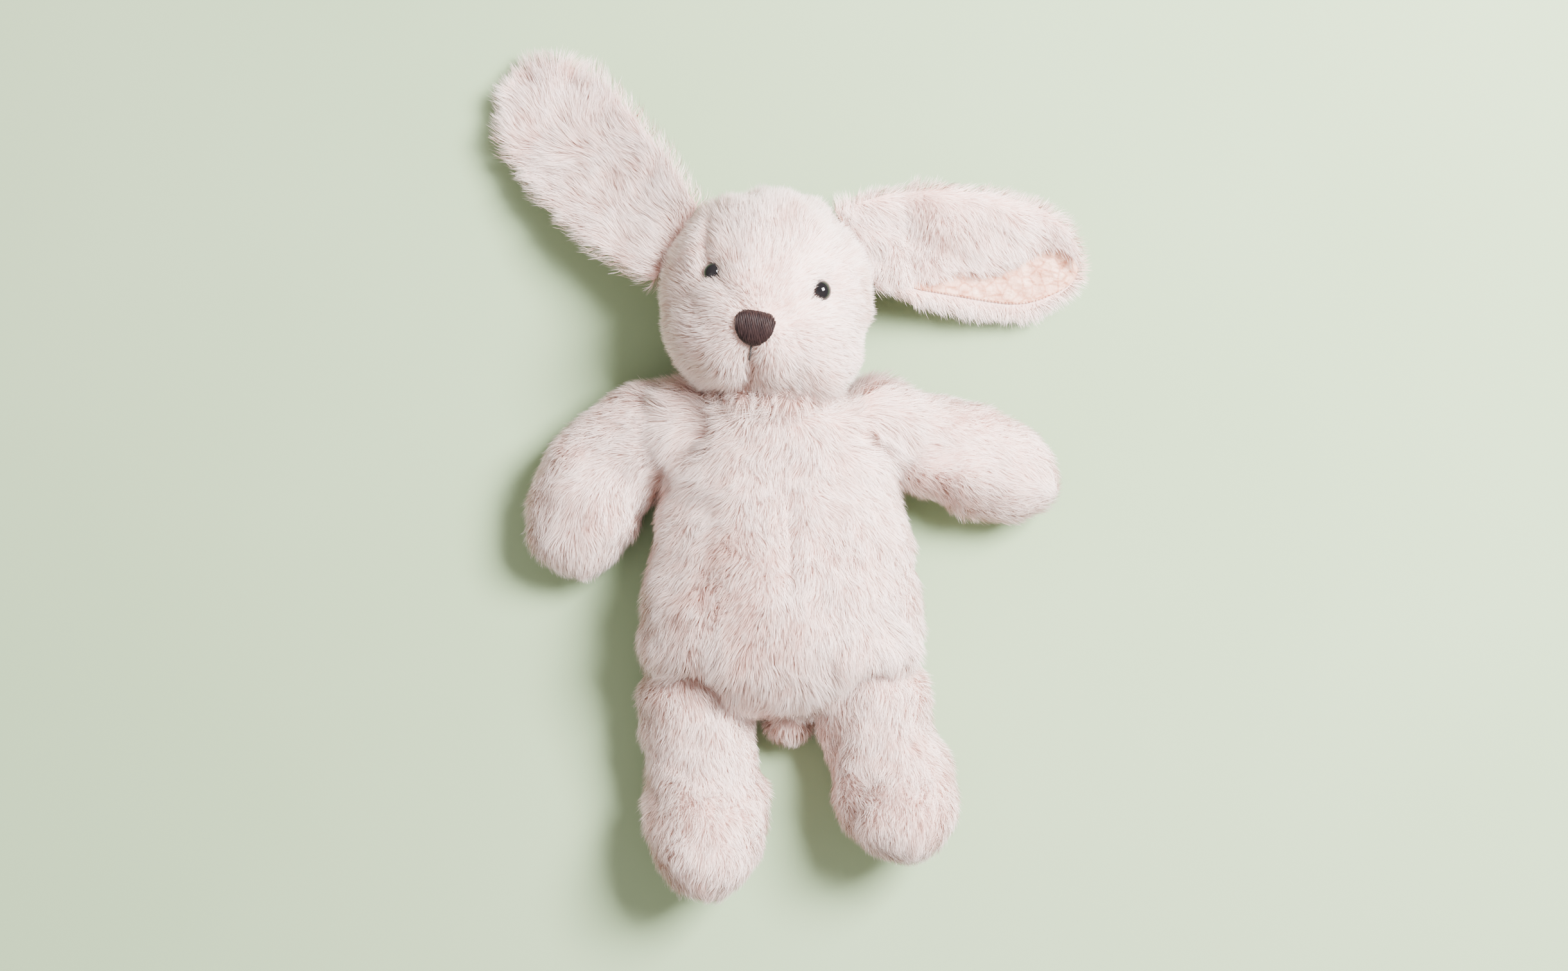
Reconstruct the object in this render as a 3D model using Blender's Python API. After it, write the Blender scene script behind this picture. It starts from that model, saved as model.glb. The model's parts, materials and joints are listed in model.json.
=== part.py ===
"""A stuffed plush rabbit lying on its back, as the separate pieces that it is sewn and filled from.

Frame: metres. The origin is the middle of the torso's back, on the surface that the toy lies on.
+Z is the way the toy faces, +Y runs towards its head, and its own left side is +X.
Each soft part is a cover of fur fabric, cut as panels with a seam gap between them, round a core of
fibre filling. Each part that flops has an empty on the axis of its seam, and its pieces hang from it.
"""

import math

import bmesh
import bpy
from mathutils import Matrix, Vector

MM = 0.001

# Fabric and clearances
FABRIC = 3.0 * MM  # fur fabric: its backing and the dense foot of the pile
LINING = 1.2 * MM  # the thin smooth fabric inside the ears
SEAM_GAP = 0.6 * MM  # between two panels of one cover
FILL_GAP = 0.7 * MM  # between a cover and its filling
LAYER_GAP = 0.6 * MM  # between two layers of an ear
FIT_GAP = 0.3 * MM  # round a hard piece
JOINT_GAP = 1.2 * MM  # between a part that flops and what it is sewn to

# Torso: an egg that is widest near the seat
TORSO_LENGTH = 118 * MM
TORSO_WIDTH = 107 * MM
TORSO_DEPTH = 60 * MM
TORSO_TOP_Y = 55 * MM
TORSO_FLAT = 3.5 * MM  # how far its back is pressed flat
TORSO_WIDTHS = [(0, 0.5), (0.12, 0.6), (0.3, 0.8), (0.52, 0.95), (0.74, 1.0), (1, 0.9)]
TORSO_DEPTHS = [(0, 0.62), (0.15, 0.72), (0.35, 0.9), (0.6, 1.0), (0.8, 0.97), (1, 0.85)]
TORSO_NECK_CAP = 0.1
TORSO_SEAT_CAP = 0.36
NECK_EDGE = 0.012  # along the torso: where its panels stop at the neck
SEAT_EDGE = 0.86  # along the torso: where the belly and back panels meet the seat
BAG_WIDTH = 40 * MM
BAG_LENGTH = 30 * MM
BAG_DEPTH = 18 * MM
BAG_PLACE = 0.6

# Head: a ball with a low muzzle and full cheeks
HEAD_WIDTH = 79 * MM
HEAD_HEIGHT = 76 * MM
HEAD_DEPTH = 68 * MM
HEAD_FLAT = 0.8 * MM
HEAD_X = -7.3 * MM
HEAD_CLEARANCE = 6.2 * MM  # between the torso's neck end and the head
HEAD_TILT = math.radians(-10)
MUZZLE = 6 * MM
MUZZLE_LONGITUDE = 66
MUZZLE_SPREAD = 30
CHEEK = 2.5 * MM
CHEEK_LATITUDE = 26
CHEEK_LONGITUDE = 48
CHEEK_SPREAD = 26
LONGITUDE_STEP = 12
GUSSET_START, GUSSET_END = 72, 288
GUSSET_WIDTHS = [  # in mm, by longitude: narrow at the nose and the nape, widest between the ears
    (60, 0.8),
    (72, 4),
    (84, 22),
    (96, 43),
    (120, 50),
    (168, 46),
    (216, 34),
    (264, 14),
    (288, 4),
    (300, 0.8),
]

# Neck: the gathered seam between head and torso
NECK_RADIUS = 8.5 * MM
NECK_X = -4.5 * MM
NECK_Z = 31 * MM

# Face
EYE_DIAMETER = 9 * MM
EYE_DOME = 4.6 * MM
EYE_LONGITUDE = 97
EYE_SPACING = 43.6 * MM
SHANK_DIAMETER = 3 * MM
SHANK_LENGTH = 11 * MM
WASHER_DIAMETER = 10 * MM
WASHER_THICKNESS = 1.6 * MM
NOSE_WIDTH = 14 * MM
NOSE_HEIGHT = 11.5 * MM
NOSE_EDGE = 0.8 * MM
NOSE_CROWN = 1.8 * MM
NOSE_LONGITUDE = 68
MOUTH_END = 50
MOUTH_RADIUS = 0.6 * MM

# Ears
EAR_WIDTH = 48 * MM
EAR_WIDTHS = [(0, 0.72), (0.2, 0.9), (0.45, 1.0), (0.7, 1.0), (0.85, 0.95), (1, 0.8)]
EAR_CAP = 0.32
EAR_CURL = 2.5 * MM
EAR_ROOT_Z = 27 * MM
EAR_DROP = [(0, 1.0), (0.12, 0.84), (0.5, 0.4), (1, 0.05)]
LEFT_EAR_BEARING = math.radians(29)
RIGHT_EAR_BEARING = math.radians(150)
LEFT_EAR_BENDS = [(0, 0), (26, 3), (60, -2), (80, -6), (90, -9)]
RIGHT_EAR_BENDS = [(0, 0), (-17, 12), (-36, 29), (-52, 48), (-64, 70)]
FLAP_START, FLAP_END = 0.14, 0.97
FLAP_EDGE = [(0.14, -0.84), (0.29, -0.76), (0.48, -0.52), (0.64, -0.36), (0.79, 0.1), (0.97, 0.55)]

# Arms
ARM_WIDTH = 37 * MM
ARM_DEPTH = 32 * MM
ARM_WIDTHS = [(0, 0.7), (0.25, 0.84), (0.5, 0.98), (0.75, 1.0), (1, 0.9)]
ARM_DEPTHS = [(0.25, 0.9), (0.5, 1.0), (0.75, 1.0), (1, 0.9)]
ARM_TIP_CAP = 0.24
SHOULDER_INSET = 16.5 * MM  # in from the torso's widest line
SHOULDER_Y = 48 * MM
SHOULDER_Z = 19 * MM
LEFT_ARM_BENDS = [(0, 0), (17, -6), (36, -13), (53, -19), (69, -24)]
RIGHT_ARM_BENDS = [(0, 0), (-15, -4), (-28, -13), (-37, -26), (-41, -41), (-41, -57)]

# Legs
LEG_WIDTH = 40 * MM
LEG_DEPTH = 37 * MM
LEG_WIDTHS = [(0, 0.95), (0.25, 1.0), (0.45, 0.98), (0.62, 1.1), (0.8, 1.02), (1, 0.75)]
LEG_DEPTHS = [(0.25, 0.98), (0.45, 0.92), (0.62, 1.12), (0.8, 1.16), (1, 0.85)]
LEG_TIP_CAP = 0.22
HIP_INSET = 18 * MM  # in from the torso's widest line
HIP_BITE = 22.7 * MM  # how far up the torso the leg's socket reaches
LEFT_LEG_BENDS = [(0, 0), (2, -15), (6, -30), (10, -44), (13, -63)]
RIGHT_LEG_BENDS = [(0, 0), (2, -18), (4, -38), (5, -56), (6, -78)]
FOOT_LIFTS = [0, 0, 1, 6, 14]

# Tail
TAIL_WIDTH = 18 * MM
TAIL_LENGTH = 17 * MM
TAIL_X = 2 * MM

CAP_ROWS = 4
HALF_COLUMNS = 10  # round one half of a limb


# ---------------------------------------------------------------- curves and forms


def smooth(table, at):
    """Reads a table of (place, value) with a smooth curve through its points."""
    at = min(max(at, table[0][0]), table[-1][0])
    i = max(k for k in range(len(table) - 1) if table[k][0] <= at)
    near = [table[min(max(k, 0), len(table) - 1)] for k in (i - 1, i, i + 1, i + 2)]
    (x0, p0), (x1, p1), (x2, p2), (x3, p3) = near
    width = x2 - x1
    slope1 = (p2 - p0) / (x2 - x0) * width
    slope2 = (p3 - p1) / (x3 - x1) * width
    t = (at - x1) / width
    held = (2 * t**3 - 3 * t**2 + 1) * p1 + (3 * t**2 - 2 * t**3) * p2
    return held + (t**3 - 2 * t**2 + t) * slope1 + (t**3 - t**2) * slope2


def even(size):
    """A table that holds one size all along."""
    return [(0, size), (1, size)]


def bump(distance, spread):
    """1 at no distance, fading to nothing beyond about twice the spread."""
    return math.exp(-((distance / spread) ** 2))


class Loft:
    """A soft closed form: elliptical sections along a smooth spine, rounded off at both ends.

    A place along it runs from 0 at its root to 1 at its tip. An angle runs from 0 on one side, over
    the front at a quarter turn, and round under the back. Nothing reaches below the floor.
    """

    def __init__(self, points, widths, depths, root_cap, tip_cap):
        steps = [(b - a).length for a, b in zip(points, points[1:])]
        self.length = sum(steps)
        shares = [sum(steps[:k]) / self.length for k in range(len(points))]
        self.tables = [[(share, p[k]) for share, p in zip(shares, points)] for k in range(3)]
        self.widths, self.depths = widths, depths
        self.root_cap, self.tip_cap = root_cap, tip_cap

    def centre(self, along):
        return Vector([smooth(table, along) for table in self.tables])

    def side(self, along):
        ahead = self.centre(min(along + 0.01, 1)) - self.centre(max(along - 0.01, 0))
        return Vector((ahead.y, -ahead.x, 0)).normalized()

    def rounding(self, along):
        """1 in the middle, falling to 0 at each end as a round cap does."""
        from_end = 1.0
        if along < self.root_cap:
            from_end = along / self.root_cap
        if along > 1 - self.tip_cap:
            from_end = (1 - along) / self.tip_cap
        return math.sqrt(max(0.0, 1 - (1 - from_end) ** 2))

    def half_width(self, along, inset=0.0):
        return (smooth(self.widths, along) / 2 - inset) * self.rounding(along)

    def point(self, along, angle, inset=0.0):
        """A point of the form, or of the same form made smaller all round by inset."""
        inner = inset / self.length + along * (1 - 2 * inset / self.length)
        depth = (smooth(self.depths, along) / 2 - inset) * self.rounding(along)
        place = self.centre(inner) + self.side(inner) * self.half_width(along, inset) * math.cos(angle)
        place.z = max(place.z + depth * math.sin(angle), inset)
        return place

    def rows(self, start=0.0, end=1.0, middle=5):
        """Places along the form, closer together where an end rounds off."""
        turns = [k / CAP_ROWS * math.pi / 2 for k in range(CAP_ROWS + 1)]
        root = [self.root_cap * (1 - math.cos(turn)) for turn in turns]
        tip = [1 - self.tip_cap * (1 - math.sin(turn)) for turn in turns]
        between = [root[-1] + (tip[0] - root[-1]) * k / middle for k in range(1, middle)]
        inside = [row for row in root + between + tip if start + 0.01 < row < end - 0.01]
        return [start, *inside, end]


# ---------------------------------------------------------------- building pieces


def material(name, colour, roughness):
    made = bpy.data.materials.new(name)
    made.use_nodes = True
    shader = made.node_tree.nodes["Principled BSDF"]
    shader.inputs["Base Color"].default_value = (*colour, 1.0)
    shader.inputs["Roughness"].default_value = roughness
    return made


def fur(name):
    return material(name, (0.83, 0.72, 0.68), 0.95)


def filling(name):
    return material(name, (0.86, 0.86, 0.84), 1.0)


def lining(name):
    return material(name, (0.8, 0.55, 0.45), 0.5)


def dark_thread(name):
    return material(name, (0.03, 0.017, 0.017), 0.55)


def black_plastic(name):
    return material(name, (0.01, 0.01, 0.01), 0.08)


def white_plastic(name):
    return material(name, (0.8, 0.8, 0.78), 0.4)


def pivot(name, place, parent=None):
    """An empty on the axis that a part turns about."""
    empty = bpy.data.objects.new(name, None)
    empty.empty_display_size = 10 * MM
    bpy.context.scene.collection.objects.link(empty)
    empty["place"] = list(place)
    empty.parent = parent
    empty.location = place - (Vector(parent["place"]) if parent else Vector())
    return empty


def add_piece(name, bm, paint, parent=None):
    """Turns a bmesh, in world coordinates, into a piece that hangs from a pivot."""
    bmesh.ops.recalc_face_normals(bm, faces=bm.faces)
    mesh = bpy.data.meshes.new(name)
    bm.to_mesh(mesh)
    bm.free()
    if paint:
        mesh.materials.append(paint(name))
    piece = bpy.data.objects.new(name, mesh)
    bpy.context.scene.collection.objects.link(piece)
    if parent:
        mesh.transform(Matrix.Translation(-Vector(parent["place"])))
        piece.parent = parent
    return piece


def grid_vertices(bm, grid):
    """One vertex for each point. A row that has shrunk to one point gets one vertex."""
    rows = []
    for points in grid:
        if max((p - points[0]).length for p in points) < 0.01 * MM:
            rows.append([bm.verts.new(points[0])] * len(points))
        else:
            rows.append([bm.verts.new(p) for p in points])
    return rows


def grid_faces(bm, rows, ring):
    columns = len(rows[0])
    for near, far in zip(rows, rows[1:]):
        for j in range(columns if ring else columns - 1):
            k = (j + 1) % columns
            corners = [near[j], near[k], far[k], far[j]]
            bm.faces.new(dict.fromkeys(corners))


def solid(name, outer, paint, parent=None):
    """A closed solid from rings of points that shrink to a point at both ends."""
    bm = bmesh.new()
    grid_faces(bm, grid_vertices(bm, outer), ring=True)
    return add_piece(name, bm, paint, parent)


def sheet(name, outer, inner, paint, parent=None, ring=False):
    """A closed sheet between two matching grids of points, with its edges closed."""
    bm = bmesh.new()
    rows = grid_vertices(bm, outer)
    grid_faces(bm, rows, ring)
    edges = [edge.verts[:] for edge in bm.edges if len(edge.link_faces) == 1]
    inner_rows = grid_vertices(bm, inner)
    grid_faces(bm, inner_rows, ring)
    across = {}
    for row, inner_row in zip(rows, inner_rows):
        across.update(zip(row, inner_row))
    for a, b in edges:
        bm.faces.new((a, b, across[b], across[a]))
    return add_piece(name, bm, paint, parent)


def lathe(name, profile, place, aim, paint, parent=None, ring=False):
    """Turns a profile of (radius, height) about an axis. A ring's profile closes on itself."""
    turn = aim.to_track_quat("Z", "X").to_matrix()
    angles = [math.tau * k / 20 for k in range(20)]
    grid = []
    for radius, height in profile + profile[:1] if ring else profile:
        around = [Vector((radius * math.cos(a), radius * math.sin(a), height)) for a in angles]
        grid.append([place + turn @ p for p in around])
    bm = bmesh.new()
    rows = grid_vertices(bm, grid[:-1] if ring else grid)
    grid_faces(bm, rows + rows[:1] if ring else rows, ring=True)
    return add_piece(name, bm, paint, parent)


def cut(pieces, cutter):
    cutter.hide_render = True
    cutter.display_type = "WIRE"
    for piece in pieces:
        boolean = piece.modifiers.new(cutter.name, "BOOLEAN")
        boolean.operation = "DIFFERENCE"
        boolean.solver = "EXACT"
        boolean.object = cutter


def half_shell(name, form, front, parent, start=0.0, end=1.0):
    """The front or back half of a form's cover. The front half is raised by the seam gap."""
    turns = [math.pi * k / HALF_COLUMNS for k in range(HALF_COLUMNS + 1)]
    angles = turns if front else [turn + math.pi for turn in turns]
    lift = Vector((0, 0, SEAM_GAP if front else 0))
    outer, inner = [
        [[form.point(row, angle, inset) + lift for angle in angles] for row in form.rows(start, end)]
        for inset in (0, FABRIC)
    ]
    return sheet(name, outer, inner, fur, parent)


def core(name, form, parent):
    """The filling inside a form's cover."""
    angles = [math.pi * k / HALF_COLUMNS for k in range(2 * HALF_COLUMNS)]
    inset = FABRIC + FILL_GAP
    grid = [[form.point(row, angle, inset) for angle in angles] for row in form.rows()]
    return solid(name, grid, filling, parent)


def cover_and_core(name, form, parent):
    half_shell(name + "_front", form, True, parent)
    half_shell(name + "_back", form, False, parent)
    core(name + "_filling", form, parent)


# ---------------------------------------------------------------- torso


def torso_form():
    z = TORSO_DEPTH / 2 - TORSO_FLAT
    ends = [Vector((0, TORSO_TOP_Y, z)), Vector((0, TORSO_TOP_Y - TORSO_LENGTH, z))]
    widths = [(place, share * TORSO_WIDTH) for place, share in TORSO_WIDTHS]
    depths = [(place, share * TORSO_DEPTH) for place, share in TORSO_DEPTHS]
    return Loft(ends, widths, depths, TORSO_NECK_CAP, TORSO_SEAT_CAP)


def torso_panel(name, form, low, high, lift, row_list):
    """A panel between two angles, kept back from its long edges by half a seam gap."""
    columns = round((high - low) / math.pi * HALF_COLUMNS)
    grids = []
    for inset in (0, FABRIC):
        grid = []
        for row in row_list:
            back_off = SEAM_GAP / 2 / form.half_width(row, FABRIC)
            step = (high - low - 2 * back_off) / columns
            angles = [low + back_off + step * k for k in range(columns + 1)]
            grid.append([form.point(row, angle, inset) + Vector((0, 0, lift)) for angle in angles])
        grids.append(grid)
    return sheet(name, grids[0], grids[1], fur)


def socket(name, place, radius):
    """A cutter that frees a limb's round root, and the way up that the limb swings."""
    rise = TORSO_DEPTH
    turns = [math.pi / 2 * k / 6 for k in range(7)]
    profile = [(radius * math.sin(turn), -radius * math.cos(turn)) for turn in turns]
    return lathe(name, [*profile, (radius, rise), (0, rise)], place, Vector((0, 0, 1)), None)


def build_torso(shoulders, hips, arm_radius, leg_radius):
    form = torso_form()
    middle = form.rows(NECK_EDGE, SEAT_EDGE - SEAM_GAP / form.length)
    quarter = math.pi / 2
    pieces = [
        torso_panel("torso_belly_right", form, 0, quarter, SEAM_GAP / 2, middle),
        torso_panel("torso_belly_left", form, quarter, 2 * quarter, SEAM_GAP / 2, middle),
        torso_panel("torso_back", form, 2 * quarter, 4 * quarter, 0, middle),
    ]
    angles = [math.pi * k / HALF_COLUMNS for k in range(2 * HALF_COLUMNS)]
    seat_rows = form.rows(SEAT_EDGE, 1)
    outer, inner = [
        [[form.point(row, angle, inset) for angle in angles] for row in seat_rows]
        for inset in (0, FABRIC)
    ]
    pieces.append(sheet("torso_seat", outer, inner, fur, ring=True))
    stuffing = core("torso_filling", form, None)
    for side, place in shoulders.items():
        cut([*pieces[:3], stuffing], socket("shoulder_cut_" + side, place, arm_radius + JOINT_GAP))
    for side, place in hips.items():
        cut([*pieces, stuffing], socket("hip_cut_" + side, place, leg_radius + JOINT_GAP))
    build_pellet_bag(form, stuffing)


def build_pellet_bag(torso, stuffing):
    """A small bag of weighting pellets in the middle of the filling, which a slot lets in."""
    place = torso.centre(BAG_PLACE)
    half = Vector((0, BAG_LENGTH / 2, 0))
    bag = Loft([place + half, place - half], even(BAG_WIDTH), even(BAG_DEPTH), 0.5, 0.5)
    angles = [math.tau * k / 16 for k in range(16)]
    rows = bag.rows(middle=1)
    solid("torso_pellet_bag", [[bag.point(r, a) for a in angles] for r in rows], filling)
    room = solid("bag_room", [[bag.point(r, a, -FILL_GAP) for a in angles] for r in rows], None)
    slot_depth = TORSO_DEPTH
    slot = lathe(
        "bag_slot",
        [(0, -slot_depth), (BAG_DEPTH / 4, -slot_depth), (BAG_DEPTH / 4, 0), (0, 0)],
        place,
        Vector((0, 0, 1)),
        None,
    )
    cut([stuffing], room)
    cut([stuffing], slot)


# ---------------------------------------------------------------- head


class Head:
    """The head's form. Latitude runs from its right side to its left, and longitude from the chin
    over the face, the crown and the back of the head. Both are in degrees."""

    def __init__(self):
        self.centre = Vector(
            (HEAD_X, TORSO_TOP_Y + HEAD_CLEARANCE + HEAD_HEIGHT / 2, HEAD_DEPTH / 2 - HEAD_FLAT)
        )
        self.tilt = Matrix.Rotation(HEAD_TILT, 3, "Z")

    def point(self, latitude, longitude, inset=0.0):
        lat, lon = math.radians(latitude), math.radians(longitude)
        from_muzzle = math.hypot(latitude, (longitude - MUZZLE_LONGITUDE) * math.cos(lat))
        rise = MUZZLE * bump(from_muzzle, MUZZLE_SPREAD)
        for side in (-1, 1):
            from_cheek = math.hypot(latitude - side * CHEEK_LATITUDE, longitude - CHEEK_LONGITUDE)
            rise += CHEEK * bump(from_cheek, CHEEK_SPREAD)
        out = rise - inset
        local = Vector(
            (
                (HEAD_WIDTH / 2 + out) * math.sin(lat),
                -(HEAD_HEIGHT / 2 + out) * math.cos(lat) * math.cos(lon),
                (HEAD_DEPTH / 2 + out) * math.cos(lat) * math.sin(lon),
            )
        )
        place = self.centre + self.tilt @ local
        place.z = max(place.z, inset)
        return place

    def normal(self, latitude, longitude):
        along = self.point(latitude + 1, longitude) - self.point(latitude - 1, longitude)
        round_ = self.point(latitude, longitude + 1) - self.point(latitude, longitude - 1)
        return along.cross(round_).normalized()

    def latitude_of(self, offset):
        return math.degrees(math.asin(offset / (HEAD_WIDTH / 2)))


def gusset_edge(head, longitude, back_off=0.0):
    """The latitude of the middle panel's edge. Elsewhere it is the seam that joins the two sides."""
    low, high = GUSSET_WIDTHS[0][0], GUSSET_WIDTHS[-1][0]
    width = GUSSET_WIDTHS[0][1]
    if low < longitude < high:
        width = smooth(GUSSET_WIDTHS, longitude)
    return head.latitude_of(width * MM / 2 - back_off)


def build_head_cover(head, parent):
    around = list(range(0, 360, LONGITUDE_STEP))
    shares = [k / 8 for k in range(9)]
    covers = []
    for side, name in ((-1, "head_cheek_right"), (1, "head_cheek_left")):
        rows = []
        for share in shares:
            latitudes = [side * (90 - share * (90 - gusset_edge(head, lon))) for lon in around]
            rows.append(list(zip(latitudes, around)))
        outer, inner = [
            [[head.point(lat, lon, inset) for lat, lon in row] for row in rows] for inset in (0, FABRIC)
        ]
        covers.append(sheet(name, outer, inner, fur, parent, ring=True))
    middle = range(GUSSET_START, GUSSET_END + 1, LONGITUDE_STEP)
    across = [k / 3 for k in range(-3, 4)]
    outer, inner = [
        [[head.point(a * gusset_edge(head, lon, SEAM_GAP), lon, inset) for a in across] for lon in middle]
        for inset in (0, FABRIC)
    ]
    covers.append(sheet("head_gusset", outer, inner, fur, parent))
    latitudes = [-90 + 10 * k for k in range(19)]
    inset = FABRIC + FILL_GAP
    grid = [[head.point(lat, lon, inset) for lon in around] for lat in latitudes]
    return covers, solid("head_filling", grid, filling, parent)


def build_eye(head, side, name, covers, stuffing, parent):
    """A safety eye: a dome outside, a shank through the seam, and a locking washer inside."""
    latitude = head.latitude_of(side * EYE_SPACING / 2)
    out = head.normal(latitude, EYE_LONGITUDE)
    seat = head.point(latitude, EYE_LONGITUDE) + out * FIT_GAP
    radius, shank = EYE_DIAMETER / 2, SHANK_DIAMETER / 2
    turns = [math.pi / 2 * k / 6 for k in range(7)]
    dome = [(radius * math.sin(turn), EYE_DOME * math.cos(turn)) for turn in turns]
    stem = [(shank, 0), (shank, -SHANK_LENGTH), (0, -SHANK_LENGTH)]
    lathe("eye_" + name, dome + stem, seat, out, black_plastic, parent)
    top = -(FABRIC + FILL_GAP + 2 * FIT_GAP)
    bottom = top - WASHER_THICKNESS
    hole, rim = shank + FIT_GAP, WASHER_DIAMETER / 2
    washer = [(hole, top), (rim, top), (rim, bottom), (hole, bottom)]
    lathe("eye_washer_" + name, washer, seat, out, white_plastic, parent, ring=True)
    depth = -SHANK_LENGTH - FIT_GAP
    bore = [(0, FABRIC), (hole, FABRIC), (hole, depth), (0, depth)]
    cut([*covers, stuffing], lathe("shank_cut_" + name, bore, seat, out, None, parent))
    rim += FIT_GAP
    room = [(0, 0), (rim, 0), (rim, bottom - FIT_GAP), (0, bottom - FIT_GAP)]
    cut([stuffing], lathe("washer_cut_" + name, room, seat, out, None, parent))


def build_nose(head, parent):
    """A raised pad of embroidery: flat on top, rounded below."""
    rings = [k / 4 for k in range(5)]
    angles = [math.tau * k / 20 for k in range(20)]
    per_mm = 180 / math.pi / (HEAD_DEPTH / 2 + MUZZLE)
    half_width, half_height = NOSE_WIDTH / 2 * per_mm, NOSE_HEIGHT / 2 * per_mm

    def spot(ring, angle, out):
        narrowing = 1 - 0.22 * (1 - math.sin(angle)) / 2
        latitude = ring * half_width * math.cos(angle) * narrowing
        longitude = NOSE_LONGITUDE + ring * half_height * math.sin(angle)
        return head.point(latitude, longitude, -out)

    outer = [
        [spot(r, a, FIT_GAP + NOSE_EDGE + NOSE_CROWN * math.sqrt(1 - r * r * 0.99)) for a in angles]
        for r in rings
    ]
    inner = [[spot(r, a, FIT_GAP) for a in angles] for r in rings]
    sheet("nose", outer, inner, dark_thread, parent, ring=True)


def build_mouth(head, parent):
    """One long black stitch from the nose down the cleft between the cheeks."""
    start = NOSE_LONGITUDE - math.degrees((NOSE_HEIGHT / 2 + 2 * FIT_GAP) / (HEAD_DEPTH / 2 + MUZZLE))
    grid = []
    for k in range(9):
        share = k / 8
        longitude = start + (MOUTH_END - start) * share
        radius = MOUTH_RADIUS * math.sqrt(max(0.0, 1 - (2 * share - 1) ** 6))
        middle = head.point(0, longitude, -(MOUTH_RADIUS + FIT_GAP))
        out = head.normal(0, longitude)
        side = head.tilt @ Vector((1, 0, 0))
        turns = [math.tau * j / 8 for j in range(8)]
        grid.append([middle + radius * (side * math.cos(t) + out * math.sin(t)) for t in turns])
    solid("mouth_stitch", grid, dark_thread, parent)


def build_neck(head, parent):
    """The gathered neck seam: a small round pad between the two openings."""
    room = HEAD_CLEARANCE - 3 * FIT_GAP
    turns = [math.pi * k / 8 for k in range(9)]
    profile = [(NECK_RADIUS * math.sin(t), -room / 2 * math.cos(t)) for t in turns]
    lathe("neck_gather", profile, Vector(parent["place"]), Vector((0, 1, 0)), fur, parent)


# ---------------------------------------------------------------- ears


class Ear:
    """An ear lying flat: a curved strip that widens from its root and ends in a round tip."""

    def __init__(self, head, bearing, bends):
        aim = Vector((math.cos(bearing), math.sin(bearing), 0))
        across_head = HEAD_WIDTH / 2 * math.cos(bearing - HEAD_TILT)
        up_head = HEAD_HEIGHT / 2 * math.sin(bearing - HEAD_TILT)
        reach = math.hypot(across_head, up_head) + JOINT_GAP
        self.root = Vector((head.centre.x, head.centre.y, EAR_ROOT_Z)) + aim * reach
        points = [self.root + Vector((x, y, 0)) * MM for x, y in bends]
        widths = [(place, share * EAR_WIDTH) for place, share in EAR_WIDTHS]
        self.form = Loft(points, widths, [(0, 0), (1, 0)], 0, EAR_CAP)
        across = Vector((-aim.y, aim.x, 0))
        self.root_side = across if across.y > 0 else -across

    def point(self, along, across, height):
        """Across runs from -1 on the lower edge to 1 on the upper, and height from the underside."""
        side = self.form.side(along)
        side = side if side.y > 0 else -side
        # Near the root, the strip turns to lie along the head.
        share = min(along / 0.3, 1)
        side = (self.root_side * (1 - share) + side * share).normalized()
        place = self.form.centre(along) + side * self.form.half_width(along) * across
        curl = EAR_CURL * across * across * self.form.rounding(along)
        place.z = EAR_ROOT_Z * smooth(EAR_DROP, along) + curl + height
        return place

    def layer(self, name, low, thickness, paint, parent, margin=1.0):
        rows = self.form.rows(0, 1, middle=5)
        across = [margin * k / 4 for k in range(-4, 5)]
        outer = [[self.point(row, a, low + thickness) for a in across] for row in rows]
        inner = [[self.point(row, a, low) for a in across] for row in rows]
        return sheet(name, outer, inner, paint, parent)

    def flap(self, name, low, thickness, paint, parent):
        """The upper edge of the ear, folded over its front."""
        rows = self.form.rows(FLAP_START, FLAP_END, middle=6)
        grids = []
        for height in (low + thickness, low):
            grid = []
            for row in rows:
                edge = smooth(FLAP_EDGE, row)
                steps = [edge + (0.97 - edge) * k / 6 for k in range(7)]
                grid.append([self.point(row, a, height) for a in steps])
            grids.append(grid)
        return sheet(name, grids[0], grids[1], paint, parent)


def build_ears(head, parent):
    right = Ear(head, RIGHT_EAR_BEARING, RIGHT_EAR_BENDS)
    hinge = pivot("ear_right_pivot", ear_hinge(right, LINING + LAYER_GAP + FABRIC), parent)
    right.layer("ear_right_lining", 0, LINING, lining, hinge, margin=0.93)
    right.layer("ear_right_back", LINING + LAYER_GAP, FABRIC, fur, hinge)
    left = Ear(head, LEFT_EAR_BEARING, LEFT_EAR_BENDS)
    hinge = pivot("ear_left_pivot", ear_hinge(left, FABRIC + LAYER_GAP + LINING), parent)
    left.layer("ear_left_back", 0, FABRIC, fur, hinge)
    level = FABRIC + LAYER_GAP
    left.layer("ear_left_lining", level, LINING, lining, hinge, margin=0.9)
    level += LINING + LAYER_GAP
    fold = pivot("ear_left_fold_pivot", left.point(0.5, 1, level + LINING), hinge)
    left.flap("ear_left_fold_lining", level, LINING, lining, fold)
    left.flap("ear_left_fold_fur", level + LINING + LAYER_GAP, FABRIC, fur, fold)


def ear_hinge(ear, thickness):
    """The seam's axis, level with the front of the ear's root, so that the ear clears the head."""
    return ear.point(0, 0, thickness + EAR_CURL)


# ---------------------------------------------------------------- limbs and tail


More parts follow.
